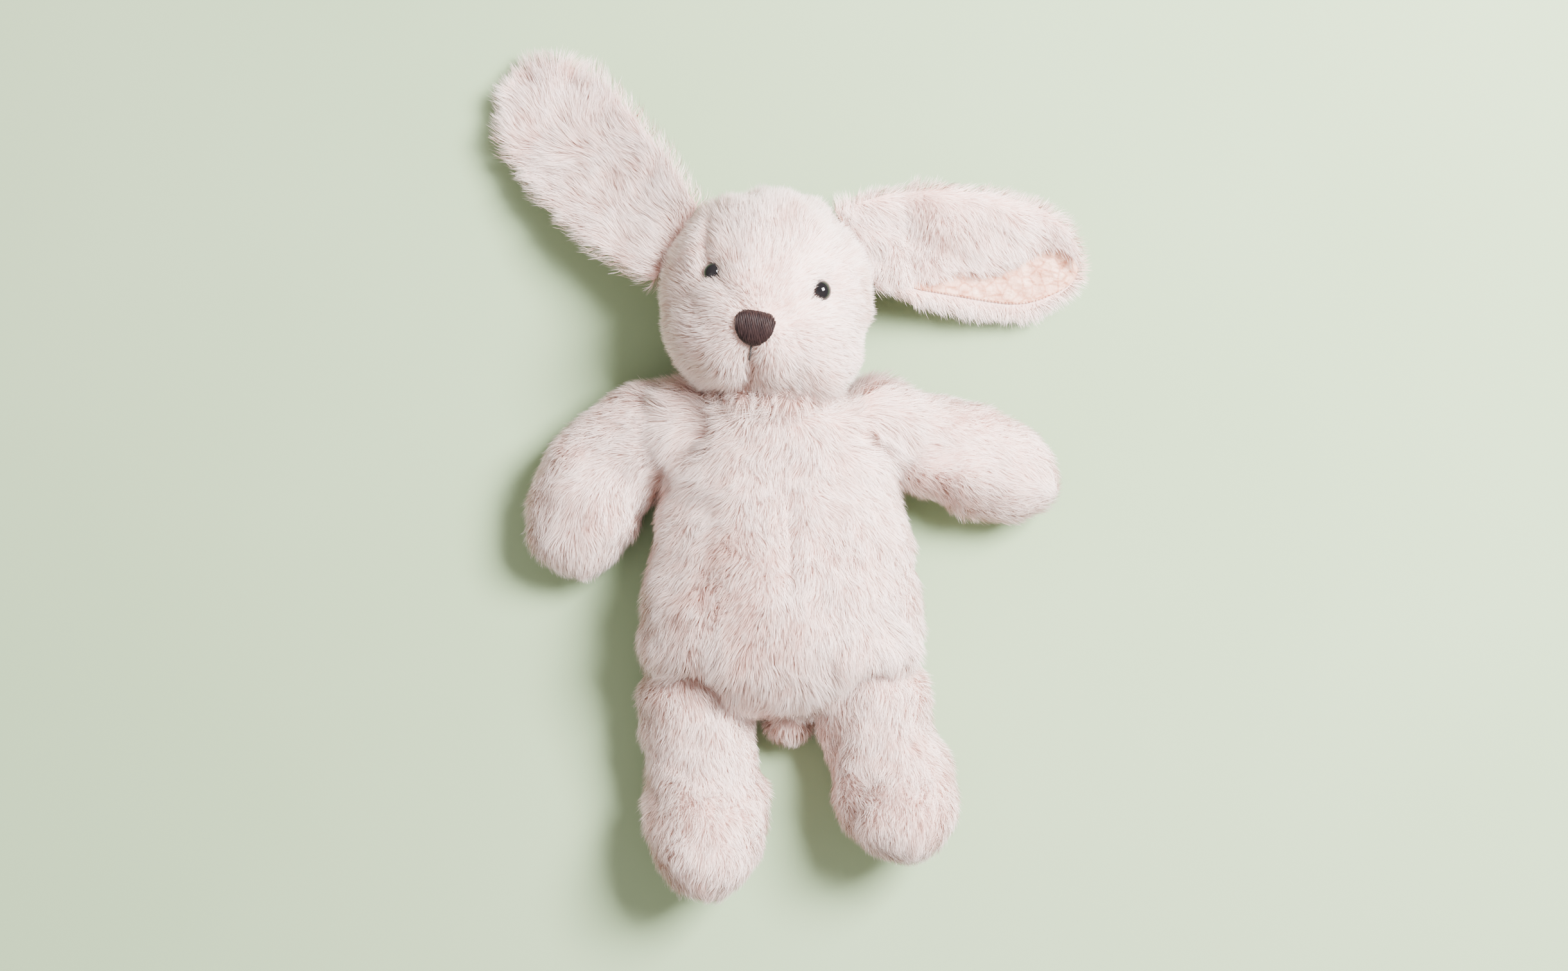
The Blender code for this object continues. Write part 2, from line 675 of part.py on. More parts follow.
def limb_form(place, bends, lifts, widths, depths, width, depth, tip_cap):
    """A limb whose root is a ball about the given place."""
    radius = widths[0][1] * width / 2
    points = [place + Vector((x, y, lift)) * MM for (x, y), lift in zip(bends, lifts)]
    rest = depth / 2 - place.z
    for k, point in enumerate(points):
        point.z += rest * min(k / 2, 1)
    back = (points[0] - points[1]).normalized() * radius
    points.insert(0, points[0] + back)
    widths = [(share, scale * width) for share, scale in widths]
    depths = [(0, 2 * radius)] + [(share, scale * depth) for share, scale in depths]
    form = Loft(points, widths, depths, 0.2, tip_cap)
    form.root_cap = radius / form.length
    return form


def build_arms(shoulders):
    for side, bends in (("right", RIGHT_ARM_BENDS), ("left", LEFT_ARM_BENDS)):
        place = shoulders[side]
        lifts = [0] * len(bends)
        sizes = (ARM_WIDTHS, ARM_DEPTHS, ARM_WIDTH, ARM_DEPTH, ARM_TIP_CAP)
        form = limb_form(place, bends, lifts, *sizes)
        cover_and_core("arm_" + side, form, pivot(f"arm_{side}_pivot", place))


def build_legs(hips):
    for side, bends in (("right", RIGHT_LEG_BENDS), ("left", LEFT_LEG_BENDS)):
        place = hips[side]
        sizes = (LEG_WIDTHS, LEG_DEPTHS, LEG_WIDTH, LEG_DEPTH, LEG_TIP_CAP)
        form = limb_form(place, bends, FOOT_LIFTS, *sizes)
        cover_and_core("leg_" + side, form, pivot(f"leg_{side}_pivot", place))


def build_tail():
    torso = torso_form()
    height = TAIL_WIDTH * 0.85
    row = max(r / 200 for r in range(100, 200) if torso.point(r / 200, math.pi * 1.5).z < height)
    z = TAIL_WIDTH / 2
    start = Vector((TAIL_X, torso.centre(row).y - JOINT_GAP, z))
    end = start - Vector((0, TAIL_LENGTH, 0))
    form = Loft([start, end], even(TAIL_WIDTH), even(TAIL_WIDTH), 0.5, 0.5)
    cover_and_core("tail", form, pivot("tail_pivot", start))


def on_both_sides(x, y, z):
    return {"right": Vector((-x, y, z)), "left": Vector((x, y, z))}


def main():
    for old in list(bpy.data.objects):
        bpy.data.objects.remove(old)
    upper_arm = ARM_WIDTHS[1][1] * ARM_WIDTH / 2
    thigh = LEG_WIDTHS[1][1] * LEG_WIDTH / 2
    hip_y = TORSO_TOP_Y - TORSO_LENGTH + HIP_BITE - thigh - JOINT_GAP
    shoulders = on_both_sides(TORSO_WIDTH / 2 - SHOULDER_INSET, SHOULDER_Y, SHOULDER_Z)
    hips = on_both_sides(TORSO_WIDTH / 2 - HIP_INSET, hip_y, LEG_DEPTH / 2)
    build_torso(shoulders, hips, upper_arm, thigh)
    head = Head()
    neck_place = Vector((NECK_X, TORSO_TOP_Y + HEAD_CLEARANCE / 2, NECK_Z))
    neck = pivot("neck_pivot", neck_place)
    build_neck(head, neck)
    head_pivot = pivot("head_pivot", neck_place, neck)
    covers, stuffing = build_head_cover(head, head_pivot)
    for side, name in ((-1, "right"), (1, "left")):
        build_eye(head, side, name, covers, stuffing, head_pivot)
    build_nose(head, head_pivot)
    build_mouth(head, head_pivot)
    build_ears(head, head_pivot)
    build_arms(shoulders)
    build_legs(hips)
    build_tail()


main()
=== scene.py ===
"""The looks of the plush rabbit: sewn and stuffed skins, covered in combed and clumped fur of real strands.

Lengths are in metres, worked out in millimetres times MM. Left and right are the toy's own.
"""

import json
import math

import bmesh
import bpy
import numpy as np
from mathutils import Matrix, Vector, kdtree

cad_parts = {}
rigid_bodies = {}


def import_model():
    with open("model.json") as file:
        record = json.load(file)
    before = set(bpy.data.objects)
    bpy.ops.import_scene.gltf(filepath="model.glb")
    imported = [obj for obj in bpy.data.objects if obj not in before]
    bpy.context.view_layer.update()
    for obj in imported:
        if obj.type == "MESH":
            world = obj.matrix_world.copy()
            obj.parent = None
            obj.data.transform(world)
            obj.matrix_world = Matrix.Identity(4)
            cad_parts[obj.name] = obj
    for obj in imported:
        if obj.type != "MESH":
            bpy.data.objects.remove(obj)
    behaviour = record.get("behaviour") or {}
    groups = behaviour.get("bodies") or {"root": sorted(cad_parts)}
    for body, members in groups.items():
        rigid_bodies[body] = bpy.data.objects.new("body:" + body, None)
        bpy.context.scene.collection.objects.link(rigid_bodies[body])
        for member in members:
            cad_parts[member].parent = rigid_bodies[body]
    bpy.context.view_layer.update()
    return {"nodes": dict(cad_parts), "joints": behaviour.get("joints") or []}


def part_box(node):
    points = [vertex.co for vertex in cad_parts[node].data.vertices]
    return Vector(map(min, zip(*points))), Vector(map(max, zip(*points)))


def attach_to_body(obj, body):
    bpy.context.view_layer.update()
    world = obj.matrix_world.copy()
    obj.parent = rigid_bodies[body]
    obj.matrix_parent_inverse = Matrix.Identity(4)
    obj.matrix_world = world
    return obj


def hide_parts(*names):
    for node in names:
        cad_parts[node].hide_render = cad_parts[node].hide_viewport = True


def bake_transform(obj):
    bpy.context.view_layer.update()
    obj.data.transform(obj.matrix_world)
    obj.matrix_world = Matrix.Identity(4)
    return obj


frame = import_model()

MM = 0.001
PIVOTS = {joint["name"]: np.array(joint["pos_m"], float) for joint in frame["joints"]}

# The pile
STRANDS_PER_MM2 = 4.6
STRAND_LENGTH = 7.5 * MM
STRAND_WIDTH = 0.17 * MM
CLUMP_SPACING = 1.7 * MM
MOST_STRANDS = 60000  # in one piece, so that no piece is too big
FLOOR_GAP = 0.15 * MM
SKIN_INSET = 0.8 * MM  # the skin lies this far inside the CAD cover, and the pile hides it

# Colours, linear
# The roots' darker rosy colour is partly the pile's own and partly painted shade deep in the pile.
ROOT_COLOUR_AND_SHADE = (0.76, 0.47, 0.39)
MIDDLE_COLOUR = (0.95, 0.75, 0.68)
TIP_COLOUR = (0.99, 0.90, 0.87)
# The rosy end of a strand's tone: the painted shade of creases, hollows and open patches also goes toward it.
ROSY_TINT = (0.78, 0.62, 0.57)
PALE_TINT = (0.98, 0.95, 0.94)
WHITE_TINT = (1.0, 1.0, 1.0)
LINING_DARK = (0.60, 0.30, 0.20)
LINING_MIDDLE = (0.76, 0.43, 0.31)
LINING_PALE = (0.88, 0.57, 0.43)
# Painted shade along the satin's pressed creases.
LINING_CREASE_SHADE = (0.74, 0.56, 0.48)
BACKING_TONES = ((0.62, 0.40, 0.35), (0.80, 0.60, 0.54))
NOSE_TONES = ((0.006, 0.003, 0.004), (0.030, 0.016, 0.015))
MOUTH_TONES = ((0.006, 0.005, 0.005), (0.03, 0.022, 0.02))
EYE_TONES = ((0.003, 0.003, 0.004), (0.008, 0.007, 0.008))
WASHER_TONES = ((0.70, 0.69, 0.66), (0.80, 0.79, 0.76))
POUCH_TONES = ((0.58, 0.55, 0.48), (0.74, 0.71, 0.64))
FLOOR_TONES = ((0.28, 0.38, 0.22), (0.31, 0.41, 0.25))


# ---- numbers


def smooth(table, at):
    """Reads a table of (place, value) at many places, with a smooth curve through its points."""
    places = np.array([row[0] for row in table], float)
    values = np.array([row[1] for row in table], float)
    at = np.clip(np.asarray(at, float), places[0], places[-1])
    slopes = np.gradient(values, places)
    k = np.clip(np.searchsorted(places, at, side="right") - 1, 0, len(places) - 2)
    gap = places[k + 1] - places[k]
    t = (at - places[k]) / gap
    ends = (2 * t**3 - 3 * t**2 + 1) * values[k] + (3 * t**2 - 2 * t**3) * values[k + 1]
    return ends + gap * ((t**3 - 2 * t**2 + t) * slopes[k] + (t**3 - t**2) * slopes[k + 1])


def length_of(v):
    return np.linalg.norm(v, axis=-1)


def unit(v):
    return v / np.maximum(length_of(v), 1e-12)[..., None]


def bump(distance, spread):
    return np.exp(-((distance / spread) ** 2))


def step(value, start, end):
    t = np.clip((value - start) / (end - start), 0, 1)
    return t * t * (3 - 2 * t)


def between(value, rise, fall):
    """Goes up from 0 to 1 over one range, and down again over another."""
    return step(value, *rise) * (1 - step(value, *fall))


def waves(points, size, seed, count=9):
    """A smooth random field, mostly between -1 and 1, with features of the given size."""
    rng = np.random.default_rng(seed)
    aims = unit(rng.normal(size=(count, 3)))
    rates = 2 * math.pi / size * rng.uniform(0.6, 1.5, count)
    phases = rng.uniform(0, 2 * math.pi, count)
    field = np.sin(points.reshape(-1, 3) @ (aims * rates[:, None]).T + phases).sum(axis=1)
    return field.reshape(points.shape[:-1]) / math.sqrt(count)


# ---- forms and meshes


class Loft:
    """Elliptical sections along a smooth spine, rounded off at both ends."""

    def __init__(self, points, widths, depths, root_cap, tip_cap):
        points = np.array(points, float)
        steps = length_of(np.diff(points, axis=0))
        self.length = steps.sum()
        shares = np.concatenate([[0], np.cumsum(steps)]) / self.length
        self.tables = [list(zip(shares, points[:, k])) for k in range(3)]
        self.widths, self.depths = widths, depths
        self.root_cap, self.tip_cap = root_cap, tip_cap

    def centre(self, along):
        return np.stack([smooth(table, along) for table in self.tables], axis=-1)

    def ahead(self, along):
        return unit(self.centre(np.minimum(along + 0.01, 1)) - self.centre(np.maximum(along - 0.01, 0)))

    def side(self, along):
        ahead = self.ahead(along)
        return unit(np.stack([ahead[..., 1], -ahead[..., 0], np.zeros(ahead.shape[:-1])], axis=-1))

    def rounding(self, along):
        root = np.clip(along / self.root_cap, 0, 1) if self.root_cap else 1.0
        tip = np.clip((1 - along) / self.tip_cap, 0, 1)
        return np.sqrt(1 - (1 - root) ** 2) * np.sqrt(1 - (1 - tip) ** 2)

    def point(self, along, angle, inset=0.0):
        inner = inset / self.length + along * (1 - 2 * inset / self.length)
        round_ = self.rounding(along)
        width = (smooth(self.widths, along) / 2 - inset) * round_
        depth = (smooth(self.depths, along) / 2 - inset) * round_
        place = self.centre(inner) + self.side(inner) * (width * np.cos(angle))[..., None]
        place[..., 2] += depth * np.sin(angle)
        return place


def grid_of(rows, columns):
    """Places along a form, closer together at its ends, and angles round it."""
    along = 0.5 - 0.5 * np.cos(np.linspace(0, math.pi, rows))
    angle = np.arange(columns) * 2 * math.pi / columns
    return np.meshgrid(along, angle, indexing="ij")


def from_side(angle):
    """How far an angle is from either side of a form, where its front and back panels meet."""
    return np.minimum(np.abs(angle - math.pi), np.minimum(angle, 2 * math.pi - angle))


def settle(points):
    """Presses what would reach below the floor up onto it, with a soft edge."""
    soft = 1.5 * MM
    height = points[..., 2]
    points[..., 2] = np.where(height < soft, soft * np.exp(np.minimum(height - soft, 0) / soft), height)
    return points


def grid_faces(rows, columns):
    """Quads between the rows of a grid, whose last column joins its first."""
    index = np.arange(rows * columns).reshape(rows, columns)
    index = np.concatenate([index, index[:, :1]], axis=1)
    corners = [index[:-1, :-1], index[:-1, 1:], index[1:, 1:], index[1:, :-1]]
    return np.stack(corners, axis=-1).reshape(-1, 4)


def mesh_object(name, points, faces, material):
    """A smooth closed mesh. Points that coincide are joined, and its faces are turned outwards."""
    mesh = bpy.data.meshes.new(name)
    mesh.from_pydata(points.reshape(-1, 3).tolist(), [], faces.tolist())
    bm = bmesh.new()
    bm.from_mesh(mesh)
    bmesh.ops.remove_doubles(bm, verts=bm.verts, dist=0.004 * MM)
    bmesh.ops.dissolve_degenerate(bm, edges=bm.edges, dist=0.001 * MM)
    bmesh.ops.recalc_face_normals(bm, faces=bm.faces)
    if bm.calc_volume(signed=True) < 0:
        bmesh.ops.reverse_faces(bm, faces=bm.faces)
    bm.to_mesh(mesh)
    bm.free()
    mesh.shade_smooth()
    mesh.materials.append(material)
    return new_object(name, mesh)


def new_object(name, data):
    obj = bpy.data.objects.new(name, data)
    bpy.context.scene.collection.objects.link(obj)
    return obj


def grid_object(name, points, material):
    rows, columns = points.shape[:2]
    return mesh_object(name, points, grid_faces(rows, columns), material)


def capped(points):
    """The grid with a single point added at each end, so that the form is closed."""
    first = np.broadcast_to(points[:1].mean(axis=1, keepdims=True), points[:1].shape)
    last = np.broadcast_to(points[-1:].mean(axis=1, keepdims=True), points[-1:].shape)
    return np.concatenate([first, points, last])


def tube(path, radius, sides=8):
    """Rings of points round a path. The radius may change along it."""
    path = np.asarray(path, float)
    aim = unit(np.gradient(path, axis=0))
    side = unit(np.cross(aim, np.array([0.31, 0.17, 0.94])))
    up = np.cross(side, aim)
    turns = np.arange(sides) * 2 * math.pi / sides
    radius = np.broadcast_to(radius, len(path))[:, None, None]
    around = side[:, None] * np.cos(turns)[None, :, None] + up[:, None] * np.sin(turns)[None, :, None]
    return path[:, None] + around * radius


def joined_grids(name, grids, material):
    """Many closed grids as one mesh."""
    points, faces, start = [], [], 0
    for grid in grids:
        rows, columns = grid.shape[:2]
        points.append(grid.reshape(-1, 3))
        faces.append(grid_faces(rows, columns) + start)
        start += rows * columns
    return mesh_object(name, np.concatenate(points), np.concatenate(faces), material)


# ---- node materials


def new_material(name):
    material = bpy.data.materials.new(name)
    material.use_nodes = True
    tree = material.node_tree
    return material, tree, tree.nodes["Principled BSDF"]


def set_values(shader, **values):
    for name, value in values.items():
        shader.inputs[name.replace("_", " ")].default_value = value


def node_of(tree, kind, inputs=None, **settings):
    node = tree.nodes.new(kind)
    for name, value in settings.items():
        setattr(node, name, value)
    for name, value in (inputs or {}).items():
        if isinstance(value, bpy.types.NodeSocket):
            tree.links.new(value, node.inputs[name])
        else:
            node.inputs[name].default_value = value
    return node


def ramp(tree, source, stops):
    node = node_of(tree, "ShaderNodeValToRGB", {"Fac": source})
    elements = node.color_ramp.elements
    while len(elements) < len(stops):
        elements.new(0.5)
    for element, (place, colour) in zip(elements, stops):
        element.position = place
        element.color = (*colour, 1)
    return node.outputs["Color"]


def multiplied(tree, a, b):
    node = node_of(tree, "ShaderNodeMix", data_type="RGBA", blend_type="MULTIPLY")
    node.inputs["Factor"].default_value = 1
    tree.links.new(a, node.inputs[6])
    tree.links.new(b, node.inputs[7])
    return node.outputs[2]


def noise_of(tree, scale, detail=3.0, stretch=None):
    """Noise in the object's own coordinates, with features of about 1 / scale metres."""
    place = node_of(tree, "ShaderNodeTexCoord").outputs["Object"]
    if stretch:
        place = node_of(tree, "ShaderNodeMapping", {"Vector": place, "Scale": stretch}).outputs["Vector"]
    inputs = {"Vector": place, "Scale": scale, "Detail": detail, "Roughness": 0.55}
    return node_of(tree, "ShaderNodeTexNoise", inputs).outputs["Fac"]


def bumped(tree, shader, height, distance):
    node = node_of(tree, "ShaderNodeBump", {"Height": height, "Distance": distance, "Strength": 1.0})
    tree.links.new(node.outputs["Normal"], shader.inputs["Normal"])


def fur_material():
    """Rosier roots and pale tips, with a shade of its own for each strand. The darker roots are partly the
    pile's own colour and partly painted shade deep in the pile.
    """
    material, tree, shader = new_material("fur_pile")
    tip = node_of(tree, "ShaderNodeAttribute", attribute_name="fur_tip").outputs["Fac"]
    shade = node_of(tree, "ShaderNodeAttribute", attribute_name="fur_shade").outputs["Fac"]
    along = ramp(tree, tip, [(0.0, ROOT_COLOUR_AND_SHADE), (0.5, MIDDLE_COLOUR), (1.0, TIP_COLOUR)])
    tint = ramp(tree, shade, [(0.0, ROSY_TINT), (0.5, PALE_TINT), (1.0, WHITE_TINT)])
    tree.links.new(multiplied(tree, along, tint), shader.inputs["Base Color"])
    set_values(shader, Roughness=0.75, Specular_IOR_Level=0.25)
    set_values(shader, Sheen_Weight=0.2, Sheen_Roughness=0.45, Sheen_Tint=(1.0, 0.88, 0.84, 1))
    return material


def grained(name, grain, tones, dent=0.0, **values):
    """A surface of two tones of noise. Grain holds the noise's settings, and dent is how deep it goes."""
    material, tree, shader = new_material(name)
    noise = noise_of(tree, **grain)
    tree.links.new(ramp(tree, noise, list(zip((0.3, 0.7), tones))), shader.inputs["Base Color"])
    if dent:
        bumped(tree, shader, noise, dent)
    set_values(shader, **values)
    return material


def lining_material():
    """Thin crushed satin: soft blotches, crossed by fine pressed creases that are darkened with painted
    shade.
    """
    material, tree, shader = new_material("ear_lining_satin")
    blotch = noise_of(tree, 190, detail=4.0)
    colour = ramp(tree, blotch, [(0.32, LINING_DARK), (0.5, LINING_MIDDLE), (0.68, LINING_PALE)])
    weave = noise_of(tree, 2600, detail=1.0, stretch=(1.0, 0.35, 1.0))
    fine = ramp(tree, weave, [(0.3, (0.86, 0.84, 0.83)), (0.7, WHITE_TINT)])
    place = node_of(tree, "ShaderNodeTexCoord").outputs["Object"]
    folds = node_of(tree, "ShaderNodeTexVoronoi", {"Vector": place, "Scale": 190}, feature="DISTANCE_TO_EDGE")
    # Painted shade: the colour darkens along the crease lines.
    creases = ramp(tree, folds.outputs["Distance"], [(0.0, LINING_CREASE_SHADE), (0.13, WHITE_TINT)])
    tree.links.new(multiplied(tree, multiplied(tree, colour, fine), creases), shader.inputs["Base Color"])
    rough = ramp(tree, blotch, [(0.3, (0.55, 0.55, 0.55)), (0.7, (0.36, 0.36, 0.36))])
    tree.links.new(rough, shader.inputs["Roughness"])
    bumped(tree, shader, noise_of(tree, 420, detail=5.0), 0.7 * MM)
    set_values(shader, Sheen_Weight=0.15, Sheen_Roughness=0.3, Specular_IOR_Level=0.45)
    return material


def eye_material():
    """Polished black plastic, with the faint unevenness of a moulded dome."""
    gloss = {"Coat_Weight": 0.2, "Coat_Roughness": 0.04, "Specular_IOR_Level": 0.3}
    material = grained("eye_gloss", {"scale": 160, "detail": 2.0}, EYE_TONES, **gloss)
    tree = material.node_tree
    rough = ramp(tree, noise_of(tree, 900), [(0.3, (0.05, 0.05, 0.05)), (0.8, (0.11, 0.11, 0.11))])
    tree.links.new(rough, tree.nodes["Principled BSDF"].inputs["Roughness"])
    return material


FUR = fur_material()
LINING = lining_material()
EYE = eye_material()
BACKING = grained(  # the knitted backing that shows between the roots
    "fur_backing", {"scale": 500}, BACKING_TONES, 0.4 * MM, Roughness=0.95, Specular_IOR_Level=0.1
)
NOSE_THREAD = grained(  # brown embroidery thread, with fine fibres that run along it
    "nose_thread",
    {"scale": 1100, "detail": 2.0, "stretch": (2.4, 0.2, 1.0)},
    NOSE_TONES,
    0.15 * MM,
    Roughness=0.5,
    Specular_IOR_Level=0.14,
)
MOUTH_THREAD = grained(
    "mouth_thread", {"scale": 3000, "detail": 2.0}, MOUTH_TONES, Roughness=0.55, Sheen_Weight=0.2
)
WASHER = grained("washer_plastic", {"scale": 1400}, WASHER_TONES, 0.05 * MM, Roughness=0.45)
POUCH = grained(
    "pouch_cotton", {"scale": 1800, "detail": 1.0}, POUCH_TONES, 0.2 * MM, Roughness=0.9, Sheen_Weight=0.2
)
FLOOR = grained("floor_paint", {"scale": 3}, FLOOR_TONES, Roughness=0.9, Specular_IOR_Level=0.2)


# ---- fur


def triples(items, name, kind):
    values = np.empty(len(items) * 3, kind)
    items.foreach_get(name, values)
    return values.reshape(-1, 3)


def scattered(skin, density, rng):
    """Places spread evenly over a skin, with the skin's normals there."""
    mesh = skin.data
    mesh.calc_loop_triangles()
    normals = triples(mesh.vertex_normals, "vector", np.float32)
    faces = triples(mesh.loop_triangles, "vertices", np.int32)
    corners = triples(mesh.vertices, "co", np.float32).astype(float)[faces]
    areas = length_of(np.cross(corners[:, 1] - corners[:, 0], corners[:, 2] - corners[:, 0])) / 2
    count = int(areas.sum() / MM**2 * STRANDS_PER_MM2 * density)
    picked = np.searchsorted(np.cumsum(areas) / areas.sum(), rng.random(count) * 0.999999)
    a, b = rng.random(count), rng.random(count)
    over = a + b > 1
    a[over], b[over] = 1 - a[over], 1 - b[over]
    weights = np.stack([1 - a - b, a, b], axis=1)[:, :, None]
    out = unit((normals[faces[picked]] * weights).sum(axis=1))
    return (corners[picked] * weights).sum(axis=1), out


def clumps_of(roots, rng):
    """For each strand, the number of the clump it gathers to, and how many clumps there are."""
    some = roots[rng.random(len(roots)) < 0.3]
    cells = np.unique(np.floor(some / CLUMP_SPACING).astype(int), axis=0, return_index=True)[1]
    tree = kdtree.KDTree(len(cells))
    for k, place in enumerate(some[cells]):
        tree.insert(place, k)
    tree.balance()
    return np.fromiter((tree.find(p)[1] for p in roots), int, len(roots)), len(cells)


def nearest_on(spine, roots, axes=2):
    """For each root, which point of a spine is nearest: seen from above, or in space with axes=3."""
    return np.argmin(((roots[:, None, :axes] - spine[None, :, :axes]) ** 2).sum(axis=2), axis=1)


def leaning(roots, out, comb, seed, rng):
    """The way each strand leans: combed, swirled in soft waves, and each a little its own way."""
    lean = comb(roots, out)
    lean = unit(lean - out * (lean * out).sum(axis=1, keepdims=True) + 1e-9)
    turn = 0.36 * waves(roots, 30 * MM, seed + 1) + 0.22 * waves(roots, 9 * MM, seed + 2)
    turn += rng.normal(0, 0.2, len(roots))
    return lean * np.cos(turn)[:, None] + np.cross(out, lean) * np.sin(turn)[:, None]


def along_of(out, lean, angle):
    return out * np.sin(angle)[:, None] + lean * np.cos(angle)[:, None]


def grow_fur(name, skin, comb, seed, density=1.0, length=1.0, lifts=(52, 22), **fields):
    """Grows strands from a skin, leaning the way comb(roots, normals) says.

    Fields are functions of the roots: keep is true where fur grows, shorten scales its length, shade is
    painted shade added to its tone, raise_ is added to its lift in degrees.
    """
    rng = np.random.default_rng(seed)
    roots, out = scattered(skin, density, rng)
    if "keep" in fields:
        kept = fields["keep"](roots, out)
        roots, out = roots[kept], out[kept]
    count = len(roots)
    none = np.zeros(count)
    wanted = ("shorten", "shade", "raise_")
    shorten, shade, raise_ = (fields[key](roots) if key in fields else none for key in wanted)
    lean = leaning(roots, out, comb, seed, rng)
    size = STRAND_LENGTH * length * rng.uniform(0.7, 1.1, count) * (1 - shorten)
    size *= 1 + 0.1 * waves(roots, 14 * MM, seed + 3)
    patch = 12 * waves(roots, 13 * MM, seed + 4) + raise_
    low = np.radians(lifts[0] + patch + rng.normal(0, 8, count))
    high = np.radians(lifts[1] + patch + 6 * waves(roots, 6 * MM, seed + 5) + rng.normal(0, 11, count))
    half = (size / 2)[:, None]
    middle = roots + along_of(out, lean, low) * half
    tips = middle + along_of(out, lean, high) * half
    group, groups = clumps_of(roots, rng)
    members = np.maximum(np.bincount(group, minlength=groups), 1)[:, None]
    pull = rng.uniform(0.12, 0.5, groups)[group][:, None]
    for ends, strength in ((middle, 0.3), (tips, 1.0)):
        mean = np.stack([np.bincount(group, ends[:, k], groups) for k in range(3)], axis=1) / members
        ends += (mean[group] - ends) * pull * strength
    base = roots - out * 0.4 * MM
    for ends in (base, middle, tips):
        ends[:, 2] = np.maximum(ends[:, 2], FLOOR_GAP)
    # Each strand's tone varies at random by waves, clumps and strand, and the shade field adds painted shade
    # to it.
    tone = 0.53 + 0.17 * waves(roots, 28 * MM, seed + 6) + 0.15 * waves(roots, 7 * MM, seed + 7)
    tone += rng.uniform(-0.2, 0.2, groups)[group] + rng.normal(0, 0.1, count) + shade
    tone = np.clip(tone, 0.02, 0.98)
    order = np.argsort(roots[:, 1] + 0.2 * roots[:, 0])
    chunks = np.array_split(order, math.ceil(count / MOST_STRANDS))
    for k, chunk in enumerate(chunks):
        label = name if len(chunks) == 1 else f"{name}_{k + 1}"
        rows = [field[chunk] for field in (base, middle, tips, out, tone)]
        strands(label, skin, *rows, rng)


def strands(name, skin, base, middle, tips, out, tone, rng):
    """Each strand is a ribbon of three triangles, lit as the pile that it is part of."""
    count = len(base)
    aim = unit(tips - base)
    side = unit(np.cross(aim, rng.normal(size=(count, 3))))
    facing = np.cross(aim, side)
    flip = np.where((facing * out).sum(axis=1) < 0, -1.0, 1.0)[:, None]
    side, facing = side * flip, facing * flip
    wide = side * STRAND_WIDTH / 2
    rows = [base - wide, base + wide, middle + wide * 0.85, middle - wide * 0.85, tips]
    points = np.stack(rows, axis=1).reshape(-1, 3)
    normals = np.repeat(unit(out * 0.8 + facing * 0.3 + aim * 0.15), 5, axis=0)
    pattern = np.array([0, 2, 1, 0, 3, 2, 3, 4, 2])
    corners = (np.arange(count)[:, None] * 5 + pattern).reshape(-1).astype(np.int32)
    mesh = bpy.data.meshes.new(name)
    mesh.vertices.add(count * 5)
    mesh.vertices.foreach_set("co", points.astype(np.float32).reshape(-1))
    mesh.loops.add(len(corners))
    mesh.loops.foreach_set("vertex_index", corners)
    mesh.polygons.add(count * 3)
    mesh.polygons.foreach_set("loop_start", np.arange(0, len(corners), 3, dtype=np.int32))
    mesh.update(calc_edges=True)
    tip = np.tile(np.array([0, 0, 0.5, 0.5, 1.0]), count)
    shades = np.repeat(tone, 5)
    for label, values in (("fur_tip", tip), ("fur_shade", shades)):
        mesh.attributes.new(label, "FLOAT", "POINT").data.foreach_set("value", values.astype(np.float32))
    # A map for baking: across it by shade and up it from root to tip, so that strands can share it.
    across = shades + np.tile(np.array([-1, 1, 1, -1, 0]) * 0.006, count)
    places = np.stack([across, 0.01 + 0.98 * tip], axis=1)[corners]
    mesh.uv_layers.new(name="OFBake").data.foreach_set("uv", places.astype(np.float32).reshape(-1))
    mesh.normals_split_custom_set_from_vertices(normals.astype(np.float32))
    mesh.materials.append(FUR)
    attach(new_object(name, mesh), skin)


def attach(piece, parent):
    """A piece that moves with the one it is sewn to."""
    piece.parent = parent


def furry(name, points, comb, seed, **fur):
    """A skin with fur on it."""
    skin = grid_object(name + "_skin", points, BACKING)
    grow_fur(name + "_fur", skin, comb, seed, **fur)
    return skin


def finish_piece(piece, body, nodes):
    """Attaches a piece to the body it moves with, and hides the CAD nodes it stands for."""
    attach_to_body(piece, body)
    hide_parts(*nodes)


# ---- torso

TORSO_NODES = ["torso_back", "torso_belly_left", "torso_belly_right", "torso_seat", "torso_filling"]
TORSO_FLAT = 3.5 * MM
TORSO_WIDTH = 2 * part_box("torso_back")[1].x
TORSO_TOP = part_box("torso_back")[1].y + 4.6 * MM  # past the cover's edge, into the gathered neck
TORSO_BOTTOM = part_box("torso_seat")[0].y
TORSO_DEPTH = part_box("torso_belly_left")[1].z + TORSO_FLAT
TORSO_MIDDLE = TORSO_DEPTH / 2 - TORSO_FLAT
TORSO_WIDTHS = [(0, 0.8), (0.12, 0.78), (0.3, 0.83), (0.52, 0.95), (0.74, 1.0), (1, 0.98)]
TORSO_DEPTHS = [(0, 0.7), (0.15, 0.76), (0.35, 0.9), (0.6, 1.0), (0.8, 0.97), (1, 0.85)]
TORSO_LEAN = -1.2 * MM  # where its middle and seat lie across
TORSO_CAPS = (0.07, 0.22)  # how much of its length rounds off at the neck and at the seat
TORSO_GRID = (110, 128)
BELLY_TOP = 20 * MM  # above this the torso faces up
BELLY_CREASE = 2.3 * MM  # where the short crease of the belly seam lies across
# Open patches of pile, whose tone is darkened with painted shade.
OPEN_PILE_SHADE_SPOTS = ((-24, -22, 17), (-8, -38, 13), (-20, 2, 10))  # place and size in mm
SHOULDER_ROOM = 13.2 * MM
HIP_ROOM = 17.6 * MM


